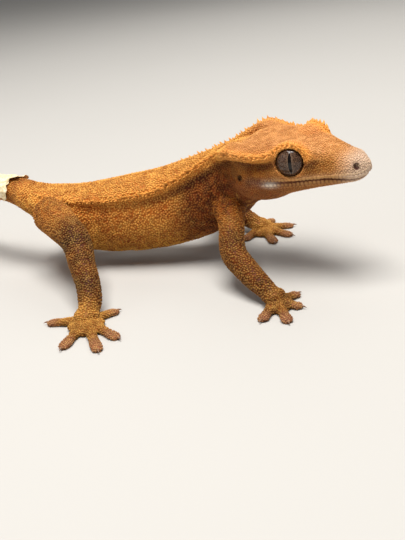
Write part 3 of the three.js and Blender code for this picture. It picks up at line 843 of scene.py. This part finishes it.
def add_markings(piece, marks, repeat=1):
    for name, values in marks.items():
        add_attribute(piece, name, np.repeat(values, repeat))


class Surface:
    """The finished skin: its triangles, for placing things on it."""

    def __init__(self, piece):
        self.triangles = read_triangles(piece.data)
        self.points = points_of(piece)
        self.normals = read_vectors(piece.data, "normal")
        self.tree = BVHTree.FromPolygons(self.points.tolist(), self.triangles.tolist())
        self.corners = [self.points[self.triangles[:, i]] for i in range(3)]
        a, b, c = self.corners
        self.areas = np.linalg.norm(np.cross(b - a, c - a), axis=1) / 2

    def sample(self, count, weights):
        """Places drawn at random over the skin, and the triangles that they lie in."""
        a, b, c = self.corners
        area = self.areas * weights
        faces = draw.choice(len(area), size=count, p=area / area.sum())
        u, v = draw.random((2, count, 1))
        turned = u + v > 1
        u = np.where(turned, 1 - u, u)
        v = np.where(turned, 1 - v, v)
        return a[faces] * (1 - u - v) + b[faces] * u + c[faces] * v, faces

    def settle(self, points):
        """The nearest places on the skin, with the way that it faces there."""
        found = [self.tree.find_nearest(Vector(point)) for point in points]
        places = np.array([f[0] for f in found])
        faces = self.triangles[[f[2] for f in found]]
        return places, unit(self.normals[faces].sum(axis=1))


def granule_size(points):
    """The spacing of the scales at each point."""
    samples = unwrap.read(points)
    regions = samples[:, REGION].astype(int)
    spacing = np.array([GRANULE[kind] for kind in REGION_KINDS])[regions]
    towards_head = rise(from_head(points)[:, 0], -8, 2) * (REGION_KINDS[regions] == "body")
    return spacing + (GRANULE["head"] - spacing) * towards_head


def scatter_roots(surface):
    """Even places for the scales, by throwing points, thinning them and pushing them apart."""
    spacing = granule_size(surface.points[surface.triangles].mean(axis=1))
    wanted = (surface.areas / (CLOSE_PACKING * spacing**2)).sum()
    points, faces = surface.sample(int(wanted * STREWN["thrown"]), 1 / spacing**2)
    space = spacing[faces]
    tree = kd_tree(points)
    alive = np.ones(len(points), bool)
    kept = []
    for index, point in enumerate(points):
        if not alive[index]:
            continue
        kept.append(index)
        for _, other, _ in tree.find_range(Vector(point), STREWN["gap"] * space[index]):
            alive[other] = False
    points = points[kept]
    space = space[kept]
    count = STREWN["neighbours"] + 1
    for _ in range(STREWN["rounds"]):
        tree = kd_tree(points)
        near = np.array([[hit[1] for hit in tree.find_n(Vector(point), count)] for point in points])
        gaps = points[:, None, :] - points[near[:, 1:]]
        distance = np.linalg.norm(gaps, axis=2, keepdims=True)
        push = gaps / np.maximum(distance, 1e-6) * np.maximum(0, space[:, None, None] - distance)
        points, normals = surface.settle(points + push.sum(axis=1) * STREWN["push"])
    return points, normals, space


def model_granule():
    """One small domed scale, six-sided, with its root below zero. It leans back along +X."""
    piece, ball = ball_points(6, 3, "granule")
    levels = [[-1, -0.3], [-0.5, -0.2], [0.5, 0.3], [1, 0.5]]
    height = np.interp(ball[:, 2], *np.transpose(levels))
    wide = np.where(ball[:, 2] > 0, 0.46, 0.6)
    flat = unit(ball * [1, 1, 0]) * (np.abs(ball[:, 2]) < 0.9)[:, None]
    shape = flat * wide[:, None] + np.column_stack([0.16 * height, 0 * height, height])
    return keep_shape(piece, shape)


def keep_shape(piece, shape):
    """The points, triangles and tips of a modelled scale, whose own piece then goes."""
    faces = read_triangles(piece.data)
    bpy.data.objects.remove(piece)
    tip = np.clip(shape[:, 2] / shape[:, 2].max(), 0, 1)
    return {"points": shape, "faces": faces, "tip": tip}


def copies(name, form, roots, normals, lie, sizes, heights=None):
    """A joined piece with a copy of a form at every root, leaning back the way that it lies."""
    along = unit(lie - normals * np.sum(lie * normals, axis=1, keepdims=True))
    across = np.cross(normals, along)
    shape = form["points"]
    heights = sizes if heights is None else heights
    scaled = shape[None, :, :] * np.stack([sizes, sizes, heights], axis=-1)[:, None, :]
    points = (
        roots[:, None, :]
        + scaled[..., 0:1] * along[:, None, :]
        + scaled[..., 1:2] * across[:, None, :]
        + scaled[..., 2:3] * normals[:, None, :]
    )
    points[..., 2] = np.maximum(points[..., 2], 0)
    count = len(roots)
    faces = form["faces"][None] + (np.arange(count) * len(shape))[:, None, None]
    mesh = bpy.data.meshes.new(name)
    faces = faces.reshape(-1, 3)
    mesh.vertices.add(count * len(shape))
    mesh.vertices.foreach_set("co", to_scene(points.reshape(-1, 3)).astype(np.float32).ravel())
    mesh.loops.add(len(faces) * 3)
    mesh.loops.foreach_set("vertex_index", faces.astype(np.int32).ravel())
    mesh.polygons.add(len(faces))
    mesh.polygons.foreach_set("loop_start", (np.arange(len(faces)) * 3).astype(np.int32))
    mesh.polygons.foreach_set("use_smooth", np.ones(len(faces), bool))
    mesh.update(calc_edges=True)
    mesh.validate()
    piece = bpy.data.objects.new(name, mesh)
    bpy.context.collection.objects.link(piece)
    add_attribute(piece, "tip", np.tile(form["tip"], count))
    add_attribute(piece, "tone", np.repeat(draw.random(count), len(shape)))
    return piece


def inset(part, margin):
    return margin + (1 - 2 * margin) * part


def add_bake_map(piece, form, samples):
    """A patch for each scale at its root's place on the unwrap, region beside region."""
    regions = samples[:, REGION].astype(int)
    used = np.unique(regions)
    routes = [REGIONS[index][1].route for index in used]
    widths = np.array([route.length * route.rows[:, HALF].mean() for route in routes])
    edges = np.concatenate([[0], np.cumsum(widths / widths.sum())])
    strip = np.searchsorted(used, regions)
    u = edges[strip] + (edges[strip + 1] - edges[strip]) * inset(samples[:, ANGLE] / 360, 0.02)
    v = inset(samples[:, ALONG], 0.01)
    patch = form["points"][:, :2] / np.abs(form["points"][:, :2]).max() * PATCH_SIZE
    spots = np.column_stack([u, v])[:, None, :] + patch[None]
    layer = piece.data.uv_layers.new(name="OFBake")
    corners = np.empty(len(piece.data.loops), dtype=np.int64)
    piece.data.loops.foreach_get("vertex_index", corners)
    layer.data.foreach_set("uv", spots.reshape(-1, 2)[corners].ravel())


class Value:
    """A socket of a material, so that shader maths reads as arithmetic."""

    def __init__(self, maker, socket):
        self.maker = maker
        self.socket = socket

    def _math(self, operation, first, second):
        return self.maker.node("ShaderNodeMath", {"operation": operation}, {0: first, 1: second})

    def __add__(self, other):
        return self._math("ADD", self, other)

    def __sub__(self, other):
        return self._math("SUBTRACT", self, other)

    def __rsub__(self, other):
        return self._math("SUBTRACT", other, self)

    def __mul__(self, other):
        return self._math("MULTIPLY", self, other)

    def __truediv__(self, other):
        return self._math("DIVIDE", self, other)

    def __rtruediv__(self, other):
        return self._math("DIVIDE", other, self)

    def __pow__(self, other):
        return self._math("POWER", self, other)

    def __rpow__(self, other):
        return self._math("POWER", other, self)

    def __abs__(self):
        return self._math("ABSOLUTE", self, 0.0)

    __radd__ = __add__
    __rmul__ = __mul__


class Finish:
    """A material under construction."""

    def __init__(self, name):
        self.material = bpy.data.materials.new(name)
        self.material.use_nodes = True
        self.tree = self.material.node_tree
        self.tree.nodes.clear()

    def node(self, kind, settings=None, sockets=None, output=0):
        node = self.tree.nodes.new(kind)
        for key, value in (settings or {}).items():
            setattr(node, key, value)
        for key, value in (sockets or {}).items():
            if isinstance(value, Value):
                self.tree.links.new(value.socket, node.inputs[key])
            else:
                node.inputs[key].default_value = value
        return Value(self, node.outputs[output]) if len(node.outputs) else None

    def attribute(self, name, output="Fac"):
        return self.node("ShaderNodeAttribute", {"attribute_name": name}, output=output)

    def place(self):
        return self.node("ShaderNodeTexCoord", output="Object")

    def noise(self, scale, detail, roughness=0.55, at=None, distortion=0.0):
        sockets = {"Scale": scale, "Detail": detail, "Roughness": roughness, "Distortion": distortion}
        return self.node("ShaderNodeTexNoise", sockets={"Vector": at or self.place(), **sockets})

    def rise(self, value, low, high):
        sockets = {"Value": value, "From Min": low, "From Max": high}
        return self.node("ShaderNodeMapRange", {"interpolation_type": "SMOOTHSTEP"}, sockets)

    def mix(self, first, second, part, way="MIX"):
        settings = {"data_type": "RGBA", "blend_type": way}
        return self.node("ShaderNodeMix", settings, {0: part, 6: first, 7: second}, output=2)

    def shade(self, colour, part, by):
        """The colour multiplied by another, as far as the part says."""
        return self.mix(colour, by, part, "MULTIPLY")

    def bump(self, height, strength, distance):
        sockets = {"Height": height, "Strength": strength, "Distance": distance}
        return self.node("ShaderNodeBump", sockets=sockets)

    def close(self, sockets):
        shader = self.node("ShaderNodeBsdfPrincipled", sockets=sockets)
        self.node("ShaderNodeOutputMaterial", sockets={"Surface": shader})
        return self.material


def srgb(red, green, blue):
    """A colour as it is seen on a screen, 0 to 255, in the linear values that a shader takes."""
    parts = [value / 255 for value in (red, green, blue)]
    return (*[p / 12.92 if p < 0.04045 else ((p + 0.055) / 1.055) ** 2.4 for p in parts], 1.0)


def hide_colour(finish):
    """The animal's markings, the same on the skin and on the scales over it, and their grain, with
    painted shade under the crests and in the nostrils and ears.
    """
    mark = finish.attribute
    patch = finish.rise(finish.noise(170, 4), 0.38, 0.62)
    fleck = finish.rise(finish.noise(620, 3), 0.42, 0.6)
    grain = finish.rise(finish.noise(1900, 2), 0.35, 0.65)
    blotch = finish.rise(finish.noise(240, 3, 0.6), 0.52, 0.64)
    spot = finish.rise(finish.noise(430, 2), 0.56, 0.68)
    colour = finish.mix(srgb(222, 136, 52), srgb(255, 184, 84), patch)
    colour = finish.mix(colour, srgb(246, 184, 88), fleck * 0.45)
    for name, share, dark, light, weights in HIDE:
        tint = srgb(*dark)
        if light:
            mottle = [p * weight for p, weight in zip((grain, fleck, patch), weights) if weight]
            tint = finish.mix(tint, srgb(*light), sum(mottle[1:], mottle[0]))
        part = mark(name) * share
        if name == "band":
            part = part * (fleck * 0.4 + 0.6)
        colour = finish.mix(colour, tint, part)
    dappled = mark("crown") * 0.4 + mark("back") * 0.45 + mark("flank") * 0.65
    dappled = dappled + mark("limb") * (1 - mark("foot")) * 0.5
    colour = finish.shade(colour, blotch * dappled * 0.7, srgb(186, 126, 84))
    colour = finish.mix(colour, srgb(250, 196, 108), spot * (mark("low") + mark("limb") * 0.4) * 0.45)
    colour = finish.mix(colour, srgb(255, 176, 78), mark("crest") * 0.9)
    colour = finish.mix(colour, srgb(240, 230, 216), mark("corner") * 0.9)
    colour = finish.shade(colour, mark("shade") * 0.8, srgb(120, 66, 34))
    # Nostrils and ears darkened: painted shade in their openings.
    colour = finish.mix(colour, srgb(62, 24, 12), finish.rise(mark("hollow"), 0.2, 0.6))
    return colour, grain


def skin_material():
    finish = Finish("gecko_skin")
    colour, grain = hide_colour(finish)
    # The skin under the coat is darkened, less on the head: painted shade in the gaps between the scales.
    colour = finish.shade(colour, 0.6 - finish.attribute("headed") * 0.4, srgb(176, 122, 80))
    normal = finish.bump(finish.noise(5200, 2) + grain * 0.5, 0.35, 0.00008)
    rough = 0.55 + grain * 0.15
    return finish.close({"Base Color": colour, "Roughness": rough, "Normal": normal, SPECULAR: 0.18})


def scale_material():
    finish = Finish("gecko_scales")
    mark = finish.attribute
    colour, _ = hide_colour(finish)
    tip = mark("tip")
    tone = mark("tone")
    smooth = 1 - mark("headed") * 0.6
    # Each scale darkened towards its root, less on the head: painted shade where it meets the skin.
    colour = finish.shade(colour, (1 - tip) * smooth * 0.6, srgb(124, 68, 32))
    speck = finish.rise(tone, 0.55, 1.0) * (mark("low") * 0.45 + mark("limb") * 0.3 + smooth * 0.3)
    # Tips lighter and more golden, less on the neck: partly the scales' own golden tips, partly a painted
    # highlight on their tops.
    light = finish.mix(colour, srgb(255, 206, 112), 0.4)
    plain = 1 - mark("neck") * 0.5
    colour = finish.mix(colour, light, tip**2 * plain * (speck * 0.6 + 0.45))
    colour = finish.shade(colour, finish.rise(0.5 - tone, 0.0, 0.5) * smooth * 0.3, srgb(150, 96, 56))
    normal = finish.bump(finish.noise(6000, 2), 0.2, 0.00004)
    rough = 0.5 + tone * 0.16
    return finish.close({"Base Color": colour, "Roughness": rough, "Normal": normal, SPECULAR: 0.16})


def finish_scales(name, form, roots, normals, lie, material, sizes, heights=None):
    """One piece of scales with its bake map, its markings and its material."""
    samples = unwrap.read(roots)
    piece = copies(name, form, roots, normals, lie, sizes, heights)
    add_bake_map(piece, form, samples)
    add_markings(piece, markings(roots, samples), len(form["points"]))
    piece.data.materials.append(material)
    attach(piece, "root")


def make_coat(surface, material):
    """Scales all over the skin, in a piece for each part of the body."""
    form = model_granule()
    roots, normals, space = scatter_roots(surface)
    samples = unwrap.read(roots)
    local = from_head(roots)
    front = local[:, 0]
    names = REGION_NAMES[samples[:, REGION].astype(int)]
    trunk = np.isin(names, ["body", "head", "crest_right", "crest_left"])
    headed = trunk & (front > 0)
    gap = np.full(len(roots), np.inf)
    gap[headed] = from_mouth(local[headed])
    lips = (gap < BARE["lips"]) & (front > BARE["lips_front"])
    nostril = hollow(local, NOSTRIL, BARE["nostril"]) > 0.5
    keep = (gap > BARE["mouth"]) & ~lips & ~nostril & (from_eyes(roots) > EYE_RADIUS + BARE["eye"])
    keep &= ~((roots[:, 2] < BARE["sole"]) & (normals[:, 2] < -0.5))
    jitter = draw.uniform(0.9, 1.1, len(roots))
    behind = trunk & (front <= NECK_BACK)
    right = roots[:, 1] < BODY_MIDDLE
    pieces = {
        "scales_head": trunk & (front > NECK_FRONT),
        "scales_neck": trunk & (front <= NECK_FRONT) & (front > NECK_BACK),
        "scales_flank_right": behind & right,
        "scales_flank_left": behind & ~right,
        "scales_tail": names == "tail",
        "scales_front_legs": np.char.startswith(names, "front"),
        "scales_hind_legs": np.char.startswith(names, "hind"),
    }
    for name, chosen in pieces.items():
        chosen = chosen & keep
        lie = samples[chosen, DIRECTION]
        sizes = (space * jitter)[chosen]
        finish_scales(name, form, roots[chosen], normals[chosen], lie, material, sizes)


def eye_material():
    """A finely veined iris with an upright slit, read from the eye's own sphere."""
    finish = Finish("gecko_eye")
    gaze = finish.attribute("gaze", "Vector")
    apart = {"kind": "ShaderNodeSeparateXYZ", "sockets": {0: gaze}}
    ahead, up, out = (finish.node(**apart, output=axis) for axis in range(3))
    wobble = (finish.noise(9, 3, at=gaze) - 0.5) * 0.05
    width = (1 - finish.rise(abs(up), 0.35, 0.78)) * 0.1 + 0.004
    from_slit = abs(ahead + up * 0.03 + wobble + 0.1) / width
    pupil = 1 - finish.rise(from_slit, 0.8, 1.15)
    edge = (1 - finish.rise(from_slit, 1.1, 2.2)) * (1 - pupil)
    veins = finish.noise(22, 5, 0.7, at=gaze, distortion=0.8)
    iris = finish.mix(srgb(34, 16, 8), srgb(134, 104, 82), finish.rise(veins, 0.46, 0.6))
    iris = finish.mix(iris, srgb(74, 42, 24), finish.rise(finish.noise(7, 3, at=gaze), 0.4, 0.7) * 0.35)
    iris = finish.mix(iris, srgb(160, 132, 108), edge * 0.3)
    iris = finish.mix(iris, srgb(16, 10, 8), pupil)
    iris = finish.mix(iris, srgb(30, 14, 6), 1 - finish.rise(out, 0.56, 0.7))
    wet = {"Coat Weight": 1.0, "Coat Roughness": 0.03, "Coat IOR": 1.33}
    return finish.close({"Base Color": iris, "Roughness": 0.22, SPECULAR: 0.1, **wet})


def make_eyes():
    material = eye_material()
    for hand, name in ((-1, "eyeball_right"), (1, "eyeball_left")):
        piece, ball = ball_points(96, 64, name)
        axis = eye_axis(hand)
        up = upward_from(axis)
        ahead = np.cross(axis, up) * -hand
        points = ball[:, :1] * ahead + ball[:, 1:2] * up + ball[:, 2:] * axis
        set_points(piece, points * EYE_RADIUS + eye_place(hand))
        add_attribute(piece, "gaze", ball, "FLOAT_VECTOR")
        piece.data.materials.append(material)
        piece.data.shade_smooth()
        flip_faces(piece)
        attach(piece, "root")
        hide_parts(name.replace("eyeball", "eye"))


def upward_from(axis):
    """The way up the head, square to an eye's axis."""
    upward = HEAD_TURN[:, 2]
    return unit(upward - axis * (axis @ upward))


def flip_faces(piece):
    """Turns the faces outwards."""
    pick_nothing()
    piece.select_set(True)
    bpy.context.view_layer.objects.active = piece
    bpy.ops.object.mode_set(mode="EDIT")
    bpy.ops.mesh.select_all(action="SELECT")
    bpy.ops.mesh.normals_make_consistent(inside=False)
    bpy.ops.object.mode_set(mode="OBJECT")


def rings_of(ball):
    """How far down a ball from 0 to 1 each point lies, and the way from its axis to the point."""
    level = np.arccos(np.clip(ball[:, 2], -1, 1)) / math.pi
    return level, unit(ball * [1, 1, 0] + [0, 0, 1e-9]) * [1, 1, 0]


def model_spine():
    """One pointed crest scale, flattened from the sides and bent back along +X."""
    piece, ball = ball_points(6, 5, "spine")
    level, flat = rings_of(ball)
    height = np.interp(level, [0, 0.2, 0.4, 0.6, 0.8, 1], [1.0, 0.72, 0.38, 0.05, -0.35, -0.4])
    wide = np.interp(level, [0, 0.2, 0.4, 0.6, 0.8, 1], [0, 0.2, 0.4, 0.52, 0.45, 0])
    shape = flat * wide[:, None] * [1, 0.72, 0]
    shape += np.column_stack([0.35 * np.maximum(height, 0) ** 1.6, 0 * height, height])
    return keep_shape(piece, shape)


def make_crest(material):
    """Rows of pointed scales along both ridges, longest over the brow and the neck."""
    form = model_spine()
    roots, normals, lies, widths, heights = [], [], [], [], []
    for hand in (-1, 1):
        tube = crests[hand].tube
        for turn, spacing, tall in SPINE_ROWS:
            count = int(tube.route.length / spacing)
            along = (np.arange(count) + draw.uniform(0.25, 0.75, count)) / count
            rows, forward = tube.route.evenly(np.clip(along, 0.004, 0.995))
            facing = unit(rows[:, CREST_FACING])
            across = np.cross(forward, facing) * hand
            tilt = np.radians(turn + draw.uniform(-9, 9, count))[:, None]
            out = unit(facing * np.cos(tilt) + across * np.sin(tilt))
            lash = bell(along - 0.08, 0.06)
            behind_eye = bell(along - 0.22, 0.05)
            fade = 1.4 - 0.7 * rise(along, 0.5, 1.0) - 0.55 * behind_eye - 0.45 * lash
            heights.append(fade * tall * draw.uniform(0.6, 1.25, count))
            roots.append(rows[:, :3] + out * rows[:, HALF, None] * 0.88)
            normals.append(unit(out + forward * (0.3 - 0.5 * lash)[:, None]))
            lies.append(forward)
            widths.append((0.55 + 0.2 * fade) * (0.7 + 0.3 * tall) * draw.uniform(0.85, 1.15, count))
    roots, normals, lies = np.vstack(roots), np.vstack(normals), np.vstack(lies)
    widths, heights = np.concatenate(widths), np.concatenate(heights)
    finish_scales("crest_spines", form, roots, normals, lies, material, widths, heights)


def model_plate():
    """A low rounded scale for the lips and the rims of the eyes."""
    piece, ball = ball_points(8, 5, "plate")
    swollen = np.sign(ball) * np.abs(ball) ** 0.75
    return keep_shape(piece, swollen * [0.5, 0.5, 0.3])


def make_lips(surface, material):
    """A row of plates above and below the line of the mouth, and a smaller row beyond each."""
    form = model_plate()
    roots, lies, sizes = [], [], []
    for lift, size, count in LIP_ROWS:
        line = mouth_line(400, lift)
        run = run_of(line)
        spots = (np.arange(count) + 0.5) / count * run[-1]
        places, further = (
            np.column_stack([np.interp(where, run, line[:, i]) for i in range(3)])
            for where in (spots, spots + 0.05)
        )
        shrunk = size * np.interp(spots / run[-1], [0, 0.7, 1], [1.0, 0.9, 0.62])
        for hand in (-1, 1):
            roots.append(in_head(places * [1, hand, 1]))
            lies.append(unit((further - places) * [1, hand, 1]) @ HEAD_TURN.T)
            sizes.append(shrunk * draw.uniform(0.92, 1.08, count))
    places, normals = surface.settle(np.vstack(roots))
    lies, sizes = np.vstack(lies), np.concatenate(sizes)
    finish_scales("lip_scales", form, places, normals, lies, material, sizes, sizes * 0.8)


def make_lids(material):
    """Beads round the opening of each eye, pointed over its top."""
    turn = np.radians(np.arange(LID_BEADS) * 360 / LID_BEADS)[:, None]
    roots, outs, ways, lies = [], [], [], []
    for hand in (-1, 1):
        axis = eye_axis(hand)
        upward = upward_from(axis)
        forward = np.cross(upward, axis)
        out = forward * np.cos(turn) + upward * np.sin(turn)
        ring = eye_place(hand) + axis * 2.12 + out * (EYE_OPENING + 0.22)
        roots.append(ring)
        outs.append(unit(ring - eye_place(hand)))
        ways.append(unit(out * 0.45 + axis))
        lies.append(np.cross(out, axis))
    roots, outs, ways, lies = (np.vstack(rows) for rows in (roots, outs, ways, lies))
    sizes = draw.uniform(0.42, 0.52, len(roots))
    finish_scales("lid_beads", model_plate(), roots, ways, lies, material, sizes, sizes * 1.3)
    turns = np.tile(turn[:, 0], 2)
    above = (turns > 0.3) & (turns < 2.9)
    out, way, size = outs[above], ways[above], sizes[above]
    tips = roots[above] + out * 0.25
    finish_scales("lid_points", model_spine(), tips, out, way, material, size, size * 1.2)


def make_shed_skin():
    """A loose, torn, wrinkled cuff of dry shed skin round the root of the tail."""
    pick_nothing()
    bpy.ops.mesh.primitive_grid_add(x_subdivisions=150, y_subdivisions=80, size=2)
    piece = bpy.context.object
    piece.name = "shed_cuff"
    grid = read_vectors(piece.data)
    around = grid[:, 0]
    back = (grid[:, 1] + 1) / 2
    torn = bell(around - 0.1, 0.16) + 0.7 * bell(around + 0.42, 0.14) + 0.16 * np.sin(around * 23)
    front = SHED["start"] + 0.006 * np.sin(around * 7) - SHED["strip"] * torn
    along = front + (SHED["end"] - front) * back
    ruffle = 0.16 * np.sin(9 * around + 14 * back) + 0.09 * np.sin(31 * around - 9 * back)
    ruffle += 0.05 * np.sin(58 * back + 5 * np.sin(11 * around))
    curl = 0.35 * np.exp(-back / 0.08) * (1 + np.sin(13 * around))
    grow = SHED["lift"] + ruffle + curl
    set_points(piece, tail.surface(along, 180 - around * SHED["spread"], grow))
    use_modifier(piece, "SOLIDIFY", thickness=SHED["thick"] * MM, offset=0)
    piece.data.shade_smooth()
    piece.data.materials.clear()
    piece.data.materials.append(shed_material())
    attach(piece, "root")
    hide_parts("shed_skin")


def shed_material():
    finish = Finish("shed_skin")
    paper = finish.noise(900, 4, 0.65)
    colour = finish.mix(srgb(226, 200, 152), srgb(250, 232, 196), finish.rise(paper, 0.35, 0.65))
    colour = finish.mix(colour, srgb(196, 160, 104), finish.rise(finish.noise(260, 3), 0.58, 0.75) * 0.5)
    cells = finish.node("ShaderNodeTexVoronoi", sockets={"Scale": 2000.0, "Vector": finish.place()})
    normal = finish.bump(cells + paper * 2, 0.5, 0.00012)
    return finish.close({"Base Color": colour, "Roughness": 0.6 + paper * 0.2, "Normal": normal})


def claw_material():
    finish = Finish("gecko_claw")
    tip = finish.attribute("tip")
    colour = finish.mix(srgb(150, 108, 76), srgb(84, 52, 34), finish.rise(tip, 0.2, 1.0))
    colour = finish.mix(colour, srgb(120, 84, 58), finish.noise(2500, 2) * 0.5)
    return finish.close({"Base Color": colour, "Roughness": 0.3 + finish.noise(3000, 2) * 0.1})


def make_claws(material):
    """A curved claw at the end of each toe."""
    piece, ball = ball_points(10, 8, "claw")
    level, flat = rings_of(ball)
    run = np.interp(level, [0, 0.85, 1], [1.15, -0.3, -0.4])
    wide = np.interp(level, [0, 0.3, 0.8, 1], [0, 0.14, 0.3, 0])
    drop = 0.28 * np.maximum(run, 0) ** 2
    form = keep_shape(piece, np.column_stack([flat[:, 0] * wide - drop, flat[:, 1] * wide * 0.8, run]))
    roots, ways = [], []
    for route, toes in LEGS.values():
        for tip in toes:
            way = unit(np.array([tip[0] - route[-1][0], tip[1] - route[-1][1], 0.0]))
            roots.append(np.array([*tip, CLAW_HEIGHT]) + way * -0.05)
            ways.append(way)
    ups = np.tile([0.0, 0, 1], (len(roots), 1))
    piece = copies("claws", form, np.array(roots), np.array(ways), ups, np.ones(len(roots)))
    piece.data.materials.append(material)
    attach(piece, "root")


FLESH = ["head", "neck", "torso", "tail_base", "tail_middle", "tail_tip"]
FLESH += [f"{leg}_{part}" for leg in LEGS for part in ("upper_leg", "lower_leg", "foot")]

skin = make_skin()
surface = Surface(skin)
add_markings(skin, markings(surface.points, unwrap.read(surface.points)))
skin.data.materials.clear()
skin.data.materials.append(skin_material())
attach(skin, "root")
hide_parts(*FLESH)

scales = scale_material()
make_coat(surface, scales)
make_crest(scales)
make_lips(surface, scales)
make_lids(scales)
make_shed_skin()
make_eyes()
make_claws(claw_material())


def set_camera():
    turns = (CAMERA[key] for key in ("azimuth", "elevation", "roll"))
    azimuth, elevation, roll = (math.radians(turn) for turn in turns)
    right = np.array([math.cos(azimuth), math.sin(azimuth), 0])
    level = np.array([math.sin(azimuth), -math.cos(azimuth), 0])
    back = level * math.cos(elevation) + [0, 0, math.sin(elevation)]
    up = np.cross(right, -back)
    across = right * math.cos(roll) + up * math.sin(roll)
    upward = up * math.cos(roll) - right * math.sin(roll)
    place = to_scene(LOOK_AT + back * CAMERA["distance"])
    camera = bpy.data.objects.new("camera", bpy.data.cameras.new("camera"))
    bpy.context.collection.objects.link(camera)
    rows = np.column_stack([across, upward, back, place])
    camera.matrix_world = Matrix([*rows.tolist(), [0, 0, 0, 1]])
    camera.data.lens = CAMERA["lens"]
    camera.data.clip_start = 0.005
    camera.data.clip_end = 20
    bpy.context.scene.camera = camera


def add_light(name, place, size, power, colour):
    light = bpy.data.lights.new(name, "AREA")
    light.size = size
    light.energy = power
    light.color = colour
    piece = bpy.data.objects.new(name, light)
    bpy.context.collection.objects.link(piece)
    piece.location = place
    piece.rotation_euler = (LIT_PLACE - Vector(place)).to_track_quat("-Z", "Y").to_euler()


def set_studio():
    pick_nothing()
    bpy.ops.mesh.primitive_circle_add(vertices=96, radius=4, fill_type="NGON")
    floor = bpy.context.object
    floor.name = "floor"
    finish = Finish("studio_floor")
    colour = finish.mix(srgb(188, 185, 180), srgb(195, 192, 187), finish.noise(3, 2))
    floor.data.materials.append(finish.close({"Base Color": colour, "Roughness": 0.9}))
    for name, light in LIGHTS.items():
        add_light(name, *light)
    world = bpy.data.worlds.new("studio")
    world.use_nodes = True
    sky = world.node_tree.nodes["Background"].inputs
    sky["Color"].default_value = srgb(232, 232, 232)
    sky["Strength"].default_value = 0.22
    bpy.context.scene.world = world
    bpy.context.scene.view_settings.view_transform = "Standard"


set_camera()
set_studio()
